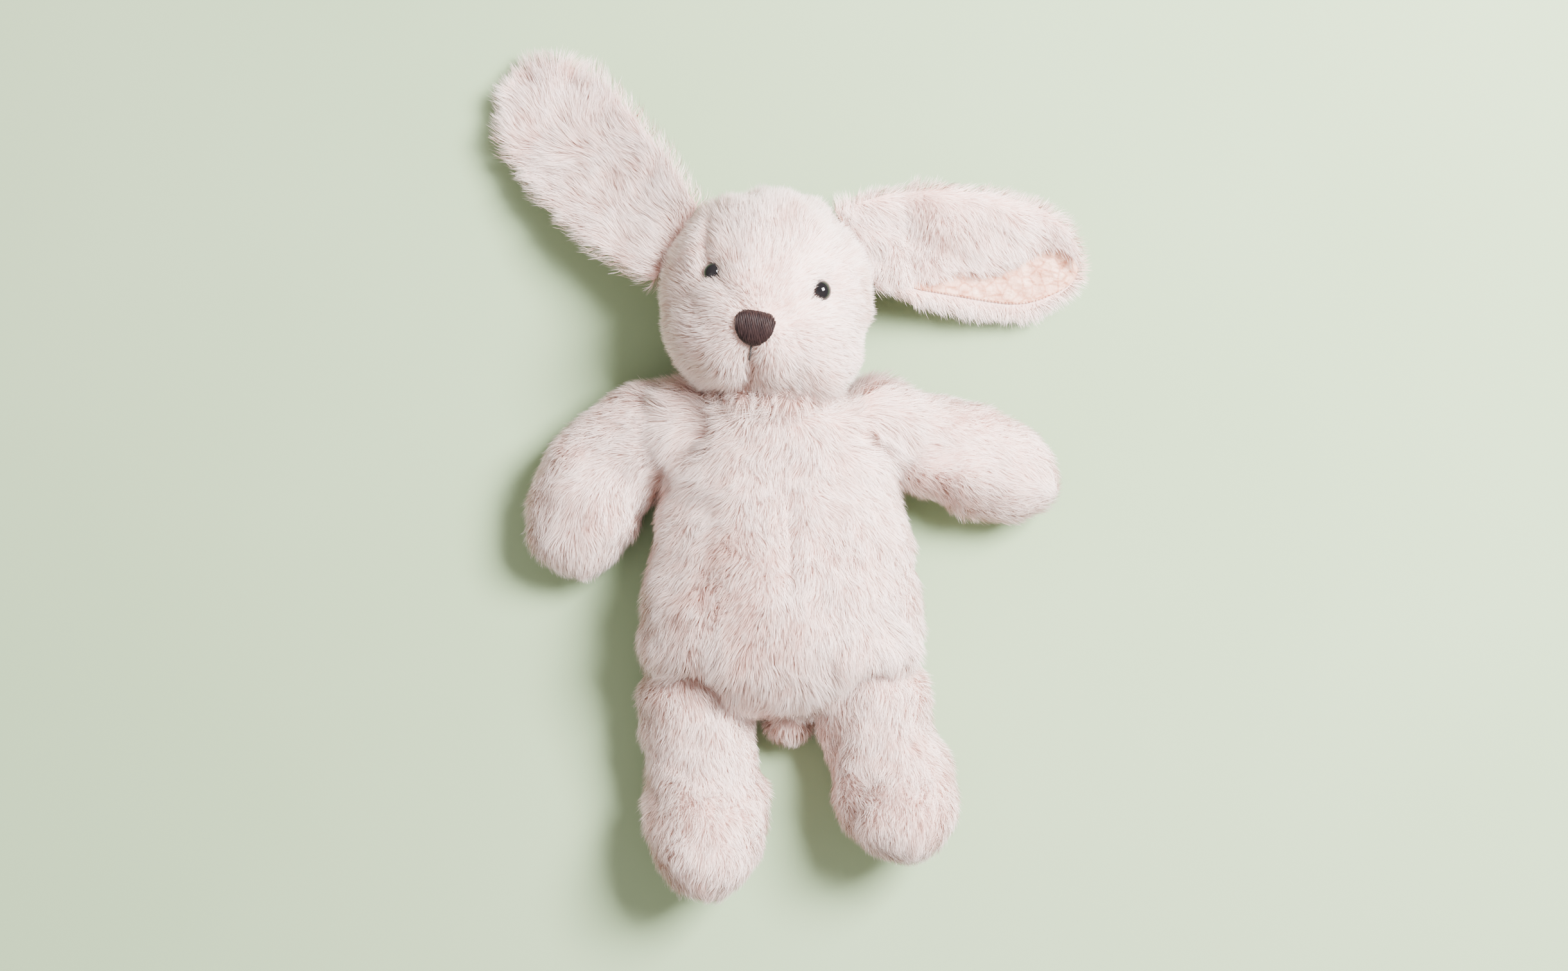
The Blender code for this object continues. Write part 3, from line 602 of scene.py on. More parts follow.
def freed(points, place, room):
    """Moves points out of the upright column, with a ball at its foot, that a limb's root swings in."""
    soft = 1.5 * MM
    flat = points[:, :2] - place[:2]
    below = np.minimum(points[:, 2] - place[2], 0)
    distance = np.maximum(np.sqrt((flat**2).sum(axis=1) + below**2), 1e-6)
    wanted = room + soft * np.logaddexp(0, (distance - room) / soft)
    scale = np.maximum(np.where(distance < room + 3 * soft, wanted / distance, 1), 1)
    moved = points.copy()
    moved[:, :2] = place[:2] + flat * scale[:, None]
    moved[:, 2] = np.where(below < 0, place[2] + below * scale, points[:, 2])
    return moved


def from_joint(roots, joint):
    """How far points lie from a joint, seen from above."""
    return length_of((roots - PIVOTS[joint])[:, :2])


def build_torso():
    spine = [(0, TORSO_TOP), (TORSO_LEAN, (TORSO_TOP + TORSO_BOTTOM) / 2), (TORSO_LEAN, TORSO_BOTTOM)]
    widths = [(place, share * TORSO_WIDTH) for place, share in TORSO_WIDTHS]
    depths = [(place, share * TORSO_DEPTH) for place, share in TORSO_DEPTHS]
    form = Loft([(x, y, TORSO_MIDDLE) for x, y in spine], widths, depths, *TORSO_CAPS)
    along, angle = grid_of(*TORSO_GRID)
    points = form.point(along, angle, SKIN_INSET)
    out = unit(points - form.centre(along))
    belly_seam = 2.2 * MM * bump(points[..., 0] - BELLY_CREASE, 3.0 * MM) * (np.sin(angle) > 0)
    belly_seam *= between(along, (0.22, 0.36), (0.54, 0.68))
    side_seams = 1.2 * MM * bump(TORSO_WIDTH / 2 * from_side(angle), 2.4 * MM)
    filling = 1.0 * MM * waves(points, 34 * MM, 5) * np.sin(math.pi * along)
    points = (points - out * (belly_seam + side_seams - filling)[..., None]).reshape(-1, 3)
    for limb in ("arm_left_lift", "arm_right_lift"):
        points = freed(points, PIVOTS[limb], SHOULDER_ROOM)
    for limb in ("leg_left_swing", "leg_right_swing"):
        points = freed(points, PIVOTS[limb], HIP_ROOM)

    def comb(roots, out):
        down = np.tile([0.0, -1.0, 0.0], (len(roots), 1))
        down[:, 0] = 0.4 * roots[:, 0] / (TORSO_WIDTH / 2)
        down[:, 1] += 1.6 * step(roots[:, 1], TORSO_TOP - 12 * MM, TORSO_TOP - 2 * MM)
        for limb, outward in (("arm_left_lift", 1), ("arm_right_lift", -1)):
            down[:, 0] += 1.5 * outward * bump(from_joint(roots, limb), 22 * MM)
        return down

    # Along the belly crease: the pile is shorter there, and its tone is darkened with painted shade.
    def seam(roots):
        along = between(roots[:, 1] / MM, (-18, -8), (14, 26))
        return bump(roots[:, 0] - BELLY_CREASE, 1.6 * MM) * (roots[:, 2] > BELLY_TOP) * along

    def open_pile_shade(roots):
        """Where the pile has been stroked the wrong way and stands open, on the belly's right, and where its
        tone is darkened with painted shade.
        """
        found = np.zeros(len(roots))
        for x, y, size in OPEN_PILE_SHADE_SPOTS:
            found += bump(np.hypot(roots[:, 0] - x * MM, roots[:, 1] - y * MM), size * MM)
        return found

    def longer(roots):
        """The pile is longest where it covers the joins to the neck and the limbs."""
        near = step(roots[:, 1], TORSO_TOP - 16 * MM, TORSO_TOP)
        for side in ("left", "right"):
            near = np.maximum(near, bump(from_joint(roots, f"leg_{side}_swing"), 27 * MM))
            near = np.maximum(near, bump(from_joint(roots, f"arm_{side}_lift"), 20 * MM))
        return near

    fields = {
        "shorten": lambda roots: 0.25 * seam(roots) - 0.6 * longer(roots),
        # Painted shade: darker along the belly crease and on the open patches that face up.
        "shade": lambda roots: -0.22 * seam(roots) - 0.42 * open_pile_shade(roots) * (roots[:, 2] > BELLY_TOP),
        "raise_": lambda roots: 16 * open_pile_shade(roots),
    }
    skin = furry("torso", settle(points).reshape(*TORSO_GRID, 3), comb, 100, **fields)
    finish_piece(skin, "torso", TORSO_NODES)


def build_pellet_bag():
    """The weighting pouch inside: two cotton panels crimped together, lumpy with pellets."""
    low, high = (np.array(corner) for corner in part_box("torso_pellet_bag"))
    middle, half = (low + high) / 2, (high - low) / 2
    along, angle = grid_of(40, 64)
    up = math.pi * (along - 0.5)
    corner = (np.abs(np.cos(angle)) ** 5 + np.abs(np.sin(angle)) ** 5) ** -0.2
    flat = np.cos(up) * corner * 0.9
    swell = 0.95 * np.sin(up) * np.abs(np.cos(up)) ** 0.1
    place = np.stack([flat * np.cos(angle), flat * np.sin(angle), swell], axis=-1)
    points = middle + place * half
    lumps = 0.35 * MM * waves(points, 5 * MM, 31)
    crimp = 0.4 * MM * np.sin(26 * angle) * bump(up, 0.25)
    points = points + unit(place) * (lumps + crimp)[..., None]
    bag = grid_object("pellet_pouch", points, POUCH)
    finish_piece(bag, "torso", ["torso_pellet_bag"])


# ---- limbs and tail

ARM_SIZE = (37 * MM, 32 * MM)
LEG_SIZE = (40 * MM, 37 * MM)
ARM_FULLNESS = {"left": 1.0, "right": 1.1}  # beyond the root, which has to fit its joint
ARM_WIDTHS = [(0, 0.8), (0.25, 0.88), (0.5, 0.98), (0.75, 1.0), (1, 0.9)]
ARM_DEPTHS = [(0.25, 0.9), (0.5, 1.0), (0.75, 1.0), (1, 0.9)]
LEG_WIDTHS = [(0, 1.04), (0.25, 1.03), (0.45, 0.98), (0.62, 1.1), (0.8, 1.02), (1, 0.75)]
LEG_DEPTHS = [(0.25, 0.98), (0.45, 0.92), (0.62, 1.12), (0.8, 1.16), (1, 0.85)]
LEFT_ARM_BENDS = [(0, 0), (17, -6), (36, -13), (53, -19), (69, -24)]
RIGHT_ARM_BENDS = [(0, 0), (-15.5, -3.5), (-29.5, -12), (-39.5, -25), (-44, -40), (-43.5, -57)]
LEFT_LEG_BENDS = [(0, 0), (2, -15), (6.5, -29), (11, -43), (14, -59)]
RIGHT_LEG_BENDS = [(0, 0), (2, -18), (4, -37), (5, -54), (6, -74)]
FOOT_LIFTS = [0, 0, 1, 6, 14]
ARM_CAP, LEG_CAP = 0.24, 0.22


def limb_form(pivot, bends, lifts, widths, depths, size, tip_cap):
    """A limb whose root is a ball about its joint. Bends and lifts are in millimetres from the joint."""
    width, depth = size
    radius = widths[0][1] * width / 2
    points = [pivot + np.array([x, y, lift]) * MM for (x, y), lift in zip(bends, lifts)]
    rest = depth / 2 - pivot[2]
    for k, point in enumerate(points):
        point[2] += rest * min(k / 2, 1)
    points.insert(0, points[0] + unit(points[0] - points[1]) * radius)
    widths = [(share, scale * width) for share, scale in widths]
    depths = [(0, 2 * radius)] + [(share, scale * depth) for share, scale in depths]
    form = Loft(points, widths, depths, 0, tip_cap)
    form.root_cap = radius / form.length
    return form


def build_limb(name, form, seed, **fields):
    along, angle = grid_of(72, 80)
    points = form.point(along, angle, SKIN_INSET)
    centre = form.centre(along)
    out = unit(points - centre)
    seams = 0.6 * MM * bump(from_side(angle) * length_of(points - centre), 2.2 * MM)
    filling = 0.9 * MM * waves(points, 22 * MM, seed) * np.sin(math.pi * along)
    points = settle(points - out * (seams - filling)[..., None])
    samples = np.linspace(0, 1, 50)
    spine, aims = form.centre(samples), form.ahead(samples)

    def comb(roots, out):
        return aims[nearest_on(spine, roots, axes=3)] + np.array([0, 0, 0.15])

    skin = furry(name, points, comb, seed + 1, **fields)
    nodes = [f"{name}_{layer}" for layer in ("front", "back", "filling")]
    finish_piece(skin, name, nodes)


def open_pile_shade_at(x, y, size, depth=0.25):
    """Fur fields for a patch of open pile on the upper side, at a place in millimetres, its tone darkened
    with painted shade.
    """

    def near(roots):
        patch = bump(np.hypot(roots[:, 0] - x * MM, (roots[:, 1] - y * MM) * 1.4), size * MM)
        return patch * (roots[:, 2] > 14 * MM)

    # Painted shade: the patch's tone is darker, and its pile stands higher.
    return {"shade": lambda roots: -depth * near(roots), "raise_": lambda roots: 16 * near(roots)}


def build_limbs():
    arms = (("left", LEFT_ARM_BENDS, 200, (62, 26, 16)), ("right", RIGHT_ARM_BENDS, 220, (-76, 12, 8)))
    for side, bends, seed, patch in arms:
        fuller = ARM_FULLNESS[side]
        widths = [(share, scale * fuller if share else scale) for share, scale in ARM_WIDTHS]
        lifts = [0] * len(bends)
        form = limb_form(PIVOTS[f"arm_{side}_lift"], bends, lifts, widths, ARM_DEPTHS, ARM_SIZE, ARM_CAP)
        build_limb("arm_" + side, form, seed, **open_pile_shade_at(*patch))
    legs = (("left", LEFT_LEG_BENDS, 240, (48, -96, 10)), ("right", RIGHT_LEG_BENDS, 260, (-32, -100, 12)))
    for side, bends, seed, patch in legs:
        pivot = PIVOTS[f"leg_{side}_swing"]
        form = limb_form(pivot, bends, FOOT_LIFTS, LEG_WIDTHS, LEG_DEPTHS, LEG_SIZE, LEG_CAP)
        build_limb("leg_" + side, form, seed, **open_pile_shade_at(*patch))


def build_tail():
    low, high = (np.array(corner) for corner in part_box("tail_back"))
    size = high[0] - low[0]
    middle = (low + high) / 2
    ends = [(middle[0], y, size / 2) for y in (high[1], middle[1], low[1])]
    form = Loft(ends, [(0, size), (1, size)], [(0, size), (1, size)], 0.5, 0.5)
    points = settle(form.point(*grid_of(36, 40), SKIN_INSET))

    def comb(roots, out):
        return out + np.array([0, -0.6, 0.3])

    skin = furry("tail", points, comb, 320, length=0.8, lifts=(66, 45))
    finish_piece(skin, "tail", ["tail_front", "tail_back", "tail_filling"])


# ---- head

HEAD_COVERS = ["head_cheek_left", "head_cheek_right", "head_gusset"]
HEAD_WIDTH, HEAD_HEIGHT, HEAD_DEPTH = 79 * MM, 76 * MM, 68 * MM
HEAD_FLAT = 0.8 * MM
HEAD_X = -7.3 * MM
HEAD_CLEARANCE = 6.2 * MM
HEAD_TILT = math.radians(-10)
NECK = PIVOTS["head_nod"]
NECK_HALVES = (24 * MM, 7.5 * MM, 19 * MM)  # half of its width, height and depth
HEAD_Y = NECK[1] + HEAD_CLEARANCE / 2 + HEAD_HEIGHT / 2
HEAD_CENTRE = np.array([HEAD_X, HEAD_Y, HEAD_DEPTH / 2 - HEAD_FLAT])
MUZZLE = 6 * MM
HEAD_SIDE = np.array([math.cos(HEAD_TILT), math.sin(HEAD_TILT), 0])
HEAD_UP = np.array([-math.sin(HEAD_TILT), math.cos(HEAD_TILT), 0])
EYE_RADIUS = 4.5 * MM
EYE_DOME = 4.6 * MM
SHANK_RADIUS = 1.5 * MM
SHANK_DEPTH = 11 * MM
EYE_LONGITUDE = 97
EYE_SPACING = 43.6 * MM
NOSE_LONGITUDE = 70
NOSE_LATITUDE = -1.5
NOSE_WIDTH = 13.6 * MM
NOSE_HEIGHT = 11.4 * MM
NOSE_CROWN = 2.0 * MM
CLEFT_LONGITUDE = 42
MOUTH_END = 50  # longitude
BULGES = [  # latitude, longitude, rise in mm, spread in degrees: cheeks, jowls, fuller right muzzle, left jaw
    (-26, 48, 3.5, 26),
    (26, 48, 3.5, 26),
    (-40, 22, 3.0, 24),
    (40, 22, 3.5, 24),
    (-19, 78, 2.0, 13),
    (-15, 46, 1.8, 13),
    (50, 28, 4.5, 20),
]
# The middle panel's width in mm by longitude, as in the CAD cover
GUSSET_LONGITUDES = (60, 72, 84, 96, 120, 168, 216, 264, 288, 300)
GUSSET_WIDTHS = list(zip(GUSSET_LONGITUDES, (0.8, 4, 22, 43, 50, 46, 34, 14, 4, 0.8)))


def head_point(lat, lon, inset=0.0):
    """Latitude runs from the head's right to its left, and longitude from the chin over the face."""
    across, round_ = np.radians(lat), np.radians(lon)
    out = MUZZLE * bump(np.hypot(lat, (lon - 66) * np.cos(across)), 30) - inset
    for at_lat, at_lon, rise, spread in BULGES:
        out = out + rise * MM * bump(np.hypot(lat - at_lat, lon - at_lon), spread)
    x = (HEAD_WIDTH / 2 + out) * np.sin(across)
    y = -(HEAD_HEIGHT / 2 + out) * np.cos(across) * np.cos(round_)
    z = (HEAD_DEPTH / 2 + out) * np.cos(across) * np.sin(round_)
    up = np.array([0, 0, 1.0])
    return HEAD_CENTRE + x[..., None] * HEAD_SIDE + y[..., None] * HEAD_UP + z[..., None] * up


def place_on_head(roots):
    """The latitude and longitude of points near the head's surface."""
    local = roots - HEAD_CENTRE
    lat = np.degrees(np.arcsin(np.clip(local @ HEAD_SIDE / (HEAD_WIDTH / 2), -1, 1)))
    return lat, np.degrees(np.arctan2(local[:, 2], -(local @ HEAD_UP))) % 360


def on_head(lat, lon, inset=0.0):
    return head_point(np.array(float(lat)), np.array(float(lon)), inset)


def head_normal(lat, lon):
    along = on_head(lat + 1, lon) - on_head(lat - 1, lon)
    round_ = on_head(lat, lon + 1) - on_head(lat, lon - 1)
    return unit(np.cross(along, round_))


def latitude_of(offset):
    return np.degrees(np.arcsin(offset / (HEAD_WIDTH / 2)))


def from_gusset(lat, lon):
    """The distance to the middle panel's edge, and beyond its ends to the seam that joins the sides."""
    inside = (lon > GUSSET_WIDTHS[0][0]) & (lon < GUSSET_WIDTHS[-1][0])
    edge = latitude_of(smooth(GUSSET_WIDTHS, lon) * MM / 2)
    return np.radians(np.where(inside, np.abs(np.abs(lat) - edge), np.abs(lat))) * HEAD_WIDTH / 2


EYE_LATITUDE = float(latitude_of(EYE_SPACING / 2))
EYES = {side: on_head(sign * EYE_LATITUDE, EYE_LONGITUDE) for side, sign in (("right", -1), ("left", 1))}
EYE_DEPTHS = {"right": 3.9 * MM, "left": 3.1 * MM}  # the right one is half lost in the pile
NOSE = on_head(NOSE_LATITUDE, NOSE_LONGITUDE)


def creases(lat, lon):
    """How deep the skin is drawn in at the seams, round the eyes and in the cleft below the nose."""
    away = from_gusset(lat, lon)
    seam = 1.0 * MM * bump(away, 2.0 * MM)
    deeper = 1 + 0.6 * (lat < 0)
    brow = 2.0 * MM * deeper * bump(away, 3.2 * MM) * between(lon, (88, 100), (120, 150))
    bridge = 1.6 * MM * bump(away, 4.0 * MM) * between(lon, (70, 80), (94, 104))
    cleft = 5.5 * MM * bump(np.radians(lat - NOSE_LATITUDE) * HEAD_WIDTH / 2, 3.0 * MM)
    cleft *= bump(lon - CLEFT_LONGITUDE, 19)
    sockets = 2.4 * MM * deeper * bump(np.hypot(np.abs(lat) - EYE_LATITUDE, (lon - EYE_LONGITUDE) * 0.9), 9)
    return np.maximum(np.maximum(seam, brow), np.maximum(bridge, cleft)) + sockets


def build_head():
    lat = np.degrees(0.5 * math.pi * np.sin(np.linspace(-0.5 * math.pi, 0.5 * math.pi, 110)))
    lon = np.arange(150) * 360 / 150
    lat, lon = np.meshgrid(lat, lon, indexing="ij")
    filling = 0.7 * MM * waves(head_point(lat, lon), 26 * MM, 41)
    points = settle(head_point(lat, lon, SKIN_INSET + creases(lat, lon) - filling))

    def comb(roots, out):
        away = unit(roots - NOSE)
        sideways = ((roots - NOSE) @ HEAD_SIDE)[:, None] / (HEAD_WIDTH / 2) * HEAD_SIDE
        return away + 0.5 * sideways

    def from_eyes(roots):
        """The distance from the nearer eye, counted less up the face than across, as the lids lie."""
        found = []
        for side, eye in EYES.items():
            across, up = (roots - eye) @ HEAD_SIDE, (roots - eye) @ HEAD_UP
            out = (roots - eye)[:, 2]
            lid = 1.3 if side == "right" else 1.0
            found.append(lid * np.sqrt((1.25 * across + 0.2 * up) ** 2 + (0.85 * up) ** 2 + out**2))
        return np.minimum(*found)

    def keep(roots, out):
        local = (roots - NOSE) @ np.stack([HEAD_SIDE / NOSE_WIDTH, HEAD_UP / NOSE_HEIGHT], axis=1) * 2
        return (from_eyes(roots) > 2.6 * MM) & (length_of(local) > 0.82)

    def shorten(roots):
        near_nose = bump(length_of(roots - NOSE), 12 * MM)
        height = (roots - HEAD_CENTRE) @ HEAD_UP
        longer = 0.5 * step(height, 12 * MM, 34 * MM) + 0.5 * step(-height, 24 * MM, 36 * MM)
        return 0.5 * near_nose + 0.1 * bump(from_eyes(roots), 6 * MM) - longer

    # Painted shade: the pile's tone is darker along the gusset seams, round the eyes and in the cleft below
    # the nose.
    def shade(roots):
        lat, lon = place_on_head(roots)
        cleft = bump(lat - NOSE_LATITUDE, 5) * bump(lon - CLEFT_LONGITUDE, 17)
        seam = bump(from_gusset(lat, lon), 1.6 * MM)
        return -0.2 * seam - 0.3 * bump(from_eyes(roots), 5.5 * MM) - 0.3 * cleft

    fields = {"keep": keep, "shorten": shorten, "shade": shade}
    skin = furry("head", points, comb, 400, density=1.2, length=0.74, lifts=(60, 32), **fields)
    finish_piece(skin, "head", [*HEAD_COVERS, "head_filling"])


def build_eyes():
    """Safety eyes: a glossy dome on a shank that runs in through the seam."""
    profile = [(EYE_RADIUS * math.sin(t), EYE_DOME * math.cos(t)) for t in np.linspace(0, math.pi / 2, 22)]
    profile += [(EYE_RADIUS * 0.96, -0.25 * MM), (SHANK_RADIUS * 1.3, -0.3 * MM), (SHANK_RADIUS, -1 * MM)]
    profile += [(SHANK_RADIUS, -SHANK_DEPTH), (0, -SHANK_DEPTH)]
    for side, sign in (("right", -1), ("left", 1)):
        out = head_normal(sign * EYE_LATITUDE, EYE_LONGITUDE)
        seat = EYES[side] - out * EYE_DEPTHS[side]
        across = unit(np.cross(out, HEAD_UP))
        up = np.cross(across, out)
        angles = np.arange(48) * 2 * math.pi / 48
        ring = across * np.cos(angles)[:, None] + up * np.sin(angles)[:, None]
        points = np.stack([seat + ring * r + out * h for r, h in profile])
        eye = grid_object("eye_" + side + "_dome", points, EYE)
        finish_piece(eye, "head", ["eye_" + side])


def build_nose():
    """Satin stitches side by side over a raised pad: level above, rounded below."""
    per_metre = 180 / math.pi / (HEAD_DEPTH / 2 + MUZZLE)
    half_width, half_height = NOSE_WIDTH / 2, NOSE_HEIGHT / 2
    count, radius = 23, 0.4 * MM
    rng = np.random.default_rng(61)

    def on_nose(x, y, out):
        return on_head(NOSE_LATITUDE + x * per_metre, NOSE_LONGITUDE + y * per_metre, -out)

    def span(x):
        share = min(abs(x) / half_width, 1)
        top = half_height * (1 - 0.16 * share**2 - 0.5 * share**8)
        bottom = -half_height * (1 - share**2.4) ** 0.62 * (0.94 + 0.06 * (1 - share))
        return bottom, top

    grids = []
    for k in range(count):
        x = half_width * (2 * (k + 0.5) / count - 1) * 0.98
        bottom, top = span(x)
        path = []
        for t in np.linspace(0, 1, 15):
            y = bottom + (top - bottom) * t
            lateral = x * (1 - 0.16 * (1 - t)) + rng.normal(0, 0.03 * MM)
            share = math.hypot(x / half_width, y / half_height) / 1.12
            crown = NOSE_CROWN * math.sqrt(max(0.0, 1 - min(share, 1) ** 2))
            path.append(on_nose(lateral, y, 0.7 * MM + crown - 1.2 * MM * abs(2 * t - 1) ** 8))
        grids.append(capped(tube(path, radius * rng.uniform(0.92, 1.1))))
    nose = joined_grids("nose_stitches", grids, NOSE_THREAD)
    rings, angles = np.linspace(0.02, 0.96, 14), np.arange(48) * 2 * math.pi / 48
    dome = []
    for r in rings:
        row = []
        for a in angles:
            x = r * half_width * math.cos(a) * 0.97
            low, high = span(x / r)
            y = r * (high if math.sin(a) > 0 else -low) * math.sin(a)
            row.append(on_nose(x, y, 0.2 * MM + NOSE_CROWN * math.sqrt(1 - r * r)))
        dome.append(row)
    pad = grid_object("nose_pad", capped(np.array(dome)), NOSE_THREAD)
    attach(pad, nose)
    finish_piece(nose, "head", ["nose"])


def build_mouth():
    """A long stitch of two-ply thread from the nose down into the cleft."""
    start = NOSE_LONGITUDE - math.degrees(NOSE_HEIGHT / 2 / (HEAD_DEPTH / 2 + MUZZLE)) + 2
    share = np.linspace(0, 1, 40)
    lon = start + (MOUTH_END - start) * share
    lat = np.full(len(share), NOSE_LATITUDE)
    middle = head_point(lat, lon, creases(lat, lon) * 0.7 - 0.8 * MM)
    out = unit(middle - HEAD_CENTRE)
    grids = []
    for ply in (0, math.pi):
        turn = ply + 2 * math.pi * 7 * share
        twist = HEAD_SIDE * np.cos(turn)[:, None] + out * np.sin(turn)[:, None]
        taper = np.sqrt(np.clip(1 - (2 * share - 1) ** 8, 0.02, 1))
        grids.append(capped(tube(middle + 0.24 * MM * twist, 0.3 * MM * taper)))
    mouth = joined_grids("mouth_thread", grids, MOUTH_THREAD)
    finish_piece(mouth, "head", ["mouth_stitch"])


def build_neck():
    """The gathered neck: a pleated ring of fur fabric between the two openings."""
    along, angle = grid_of(30, 96)
    pleats = 1 + 0.05 * np.sin(16 * angle) + 0.02 * np.sin(7 * angle)
    half_width, half_height, half_depth = NECK_HALVES
    profile = np.sin(math.pi * along) ** 0.6 * pleats
    across = half_width * profile * np.cos(angle)
    up = half_depth * profile * np.sin(angle)
    offset = np.stack([across, half_height * np.cos(math.pi * along), up], axis=-1)

    def comb(roots, out):
        return np.tile([0.0, -1.0, 0.0], (len(roots), 1))

    # Painted shade: the whole ring's tone is darker, where it lies under the chin.
    def shade(roots):
        return np.full(len(roots), -0.22)

    skin = furry("neck", NECK + offset, comb, 460, length=1.25, lifts=(66, 40), shade=shade)
    finish_piece(skin, "neck", ["neck_gather"])


# ---- ears

EAR_WIDTH = 48 * MM
LEFT_EAR_WIDTH = 0.9 * EAR_WIDTH
RIGHT_EAR_WIDTH = 0.94 * EAR_WIDTH
LEFT_EAR_BEARING = math.radians(29)
RIGHT_EAR_BEARING = math.radians(150)
EAR_WIDTHS = [(0, 0.72), (0.2, 0.9), (0.45, 1.0), (0.7, 1.0), (0.85, 0.95), (1, 0.8)]
EAR_CAP = 0.32
EAR_CURL = 2.5 * MM
EAR_ROOT_Z = 27 * MM
EAR_LAY = (55, 28)  # how far its pile stands up, at the root and the tip of a strand
EAR_DROP = [(0, 1.0), (0.12, 0.84), (0.5, 0.4), (1, 0.05)]
EAR_GAP = 1.2 * MM
LEFT_EAR_BENDS = [(0, 0), (26, 1.2), (60, -2.4), (80, -6), (90, -9)]
RIGHT_EAR_BENDS = [(0, 0), (-15, 14), (-32, 32.5), (-47.5, 51.5), (-60.5, 73)]
FLAP_START, FLAP_SPLIT, FLAP_END = 0.02, 0.2, 0.97
ROOT_LEVEL = 3.0 * MM  # where the flap joins the rest of the ear, above its underside
FLAP_LOW, FLAP_HIGH = 6.2 * MM, 9.2 * MM
# How far across the ear the folded edge reaches, by its place along the ear
FLAP_EDGE_PLACES = (0.14, 0.29, 0.48, 0.64, 0.74, 0.79, 0.97)
FLAP_EDGE_REACHES = (-0.84, -0.68, -0.42, -0.26, 0.04, 0.24, 0.65)
LINING_MARGIN = 0.84
SPINE_SAMPLES = 60


class Ear:
    """An ear lying flat: a curved strip that widens from its root and ends in a round tip."""

    def __init__(self, bearing, bends, width):
        aim = np.array([math.cos(bearing), math.sin(bearing), 0])
        across_head = HEAD_WIDTH / 2 * math.cos(bearing - HEAD_TILT)
        up_head = HEAD_HEIGHT / 2 * math.sin(bearing - HEAD_TILT)
        reach = math.hypot(across_head, up_head) + EAR_GAP
        root = np.array([HEAD_CENTRE[0], HEAD_CENTRE[1], EAR_ROOT_Z]) + aim * reach
        points = [root + np.array([x, y, 0]) * MM for x, y in bends]
        widths = [(place, share * width) for place, share in EAR_WIDTHS]
        self.form = Loft(points, widths, [(0, 0), (1, 0)], 0, EAR_CAP)
        across = np.array([-aim[1], aim[0], 0])
        self.root_side = across if across[1] > 0 else -across

    def side(self, along):
        side = self.form.side(along)
        side = np.where(side[..., 1:2] > 0, side, -side)
        share = np.minimum(along / 0.3, 1)[..., None]
        return unit(self.root_side * (1 - share) + side * share)

    def point(self, along, across, height):
        """Across runs from -1 on the lower edge to 1 on the upper, and height from the underside."""
        round_ = self.form.rounding(along)
        half = smooth(self.form.widths, along) / 2 * round_
        place = self.form.centre(along) + self.side(along) * (half * across)[..., None]
        place[..., 2] = EAR_ROOT_Z * smooth(EAR_DROP, along) + EAR_CURL * across**2 * round_ + height
        return place

    def places(self, roots):
        """Where points lie: the share along the spine, and the distance across and the side there."""
        samples = np.linspace(0, 1, SPINE_SAMPLES)
        along = samples[nearest_on(self.form.centre(samples), roots)]
        side = self.side(along)
        return along, ((roots - self.form.centre(along)) * side).sum(axis=1), side

    def shell(self, low, high, margin=1.03, start=0.0, end=1.0, rows=80, columns=96, edge=None):
        """A thin closed pad between two heights, with a round edge. edge(along) is its lower side."""
        along, angle = grid_of(rows, columns)
        rim = np.sqrt(np.clip(np.sin(math.pi * along) if edge else (1 - along) * 12, 0, 1))
        along = start + (end - start) * along
        low_side = -margin if edge is None else edge(along)
        across = low_side + (margin - low_side) * (0.5 + 0.5 * np.cos(angle))
        thick = (high - low) / 2 * np.abs(np.sin(angle)) ** 0.5 * np.sign(np.sin(angle)) * rim
        level = (low + high) / 2
        if edge:
            level = ROOT_LEVEL + (level - ROOT_LEVEL) * step(along, start, start + 0.2)
        return along, across, angle, self.point(along, across, level + thick)


def flap_edge(along):
    wobble = 0.02 * np.sin(along * 31) + 0.015 * np.sin(along * 77)
    return smooth(list(zip(FLAP_EDGE_PLACES, FLAP_EDGE_REACHES)), along) + wobble


def ear_comb(ear, outward):
    """From root to tip, and outward over both edges."""

    def comb(roots, out):
        along, across, side = ear.places(roots)
        return ear.form.ahead(along) + side * (outward * across / (EAR_WIDTH / 2))[:, None]

    return comb


def crushed(points, amount, seed):
    """Pressed creases: sharp ridges that meet like the folds of crumpled satin."""
    fields = [1 - np.abs(waves(points, size * MM, seed + k)) for k, size in enumerate((11, 7, 4.5))]
    return amount * (0.5 * fields[0] ** 2 + 0.35 * fields[1] ** 3 + 0.15 * fields[2] ** 2)


def build_lining(name, ear, low, high, node, parent, margin=LINING_MARGIN, up=1.0, **shape):
    """The satin inside of an ear, crushed on the side that shows."""
    _, _, angle, points = ear.shell(low, high, margin=margin, rows=130, columns=220, **shape)
    shown = np.clip(np.sin(angle) * up, 0, 1) ** 0.5
    points[..., 2] += up * crushed(points, 1.5 * MM, 500) * shown
    lining = grid_object(name, points, LINING)
    attach(lining, parent)
    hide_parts(node)


def seam_stitches(name, ear, height, margin, parent):
    """The lining's lower edge is sewn down: short stitches along it, each pulled down at its ends."""
    share = np.linspace(0.05, 0.985, 60)
    bow = 0.35 * MM * np.sin(np.linspace(0, math.pi, 5))
    grids = []
    for start, end in zip(share[:-1], share[1:]):
        along = np.linspace(start, start + (end - start) * 0.72, len(bow))
        path = ear.point(along, np.full(len(bow), -margin), height + bow)
        grids.append(capped(tube(path, 0.22 * MM, 6)))
    attach(joined_grids(name, grids, LINING), parent)


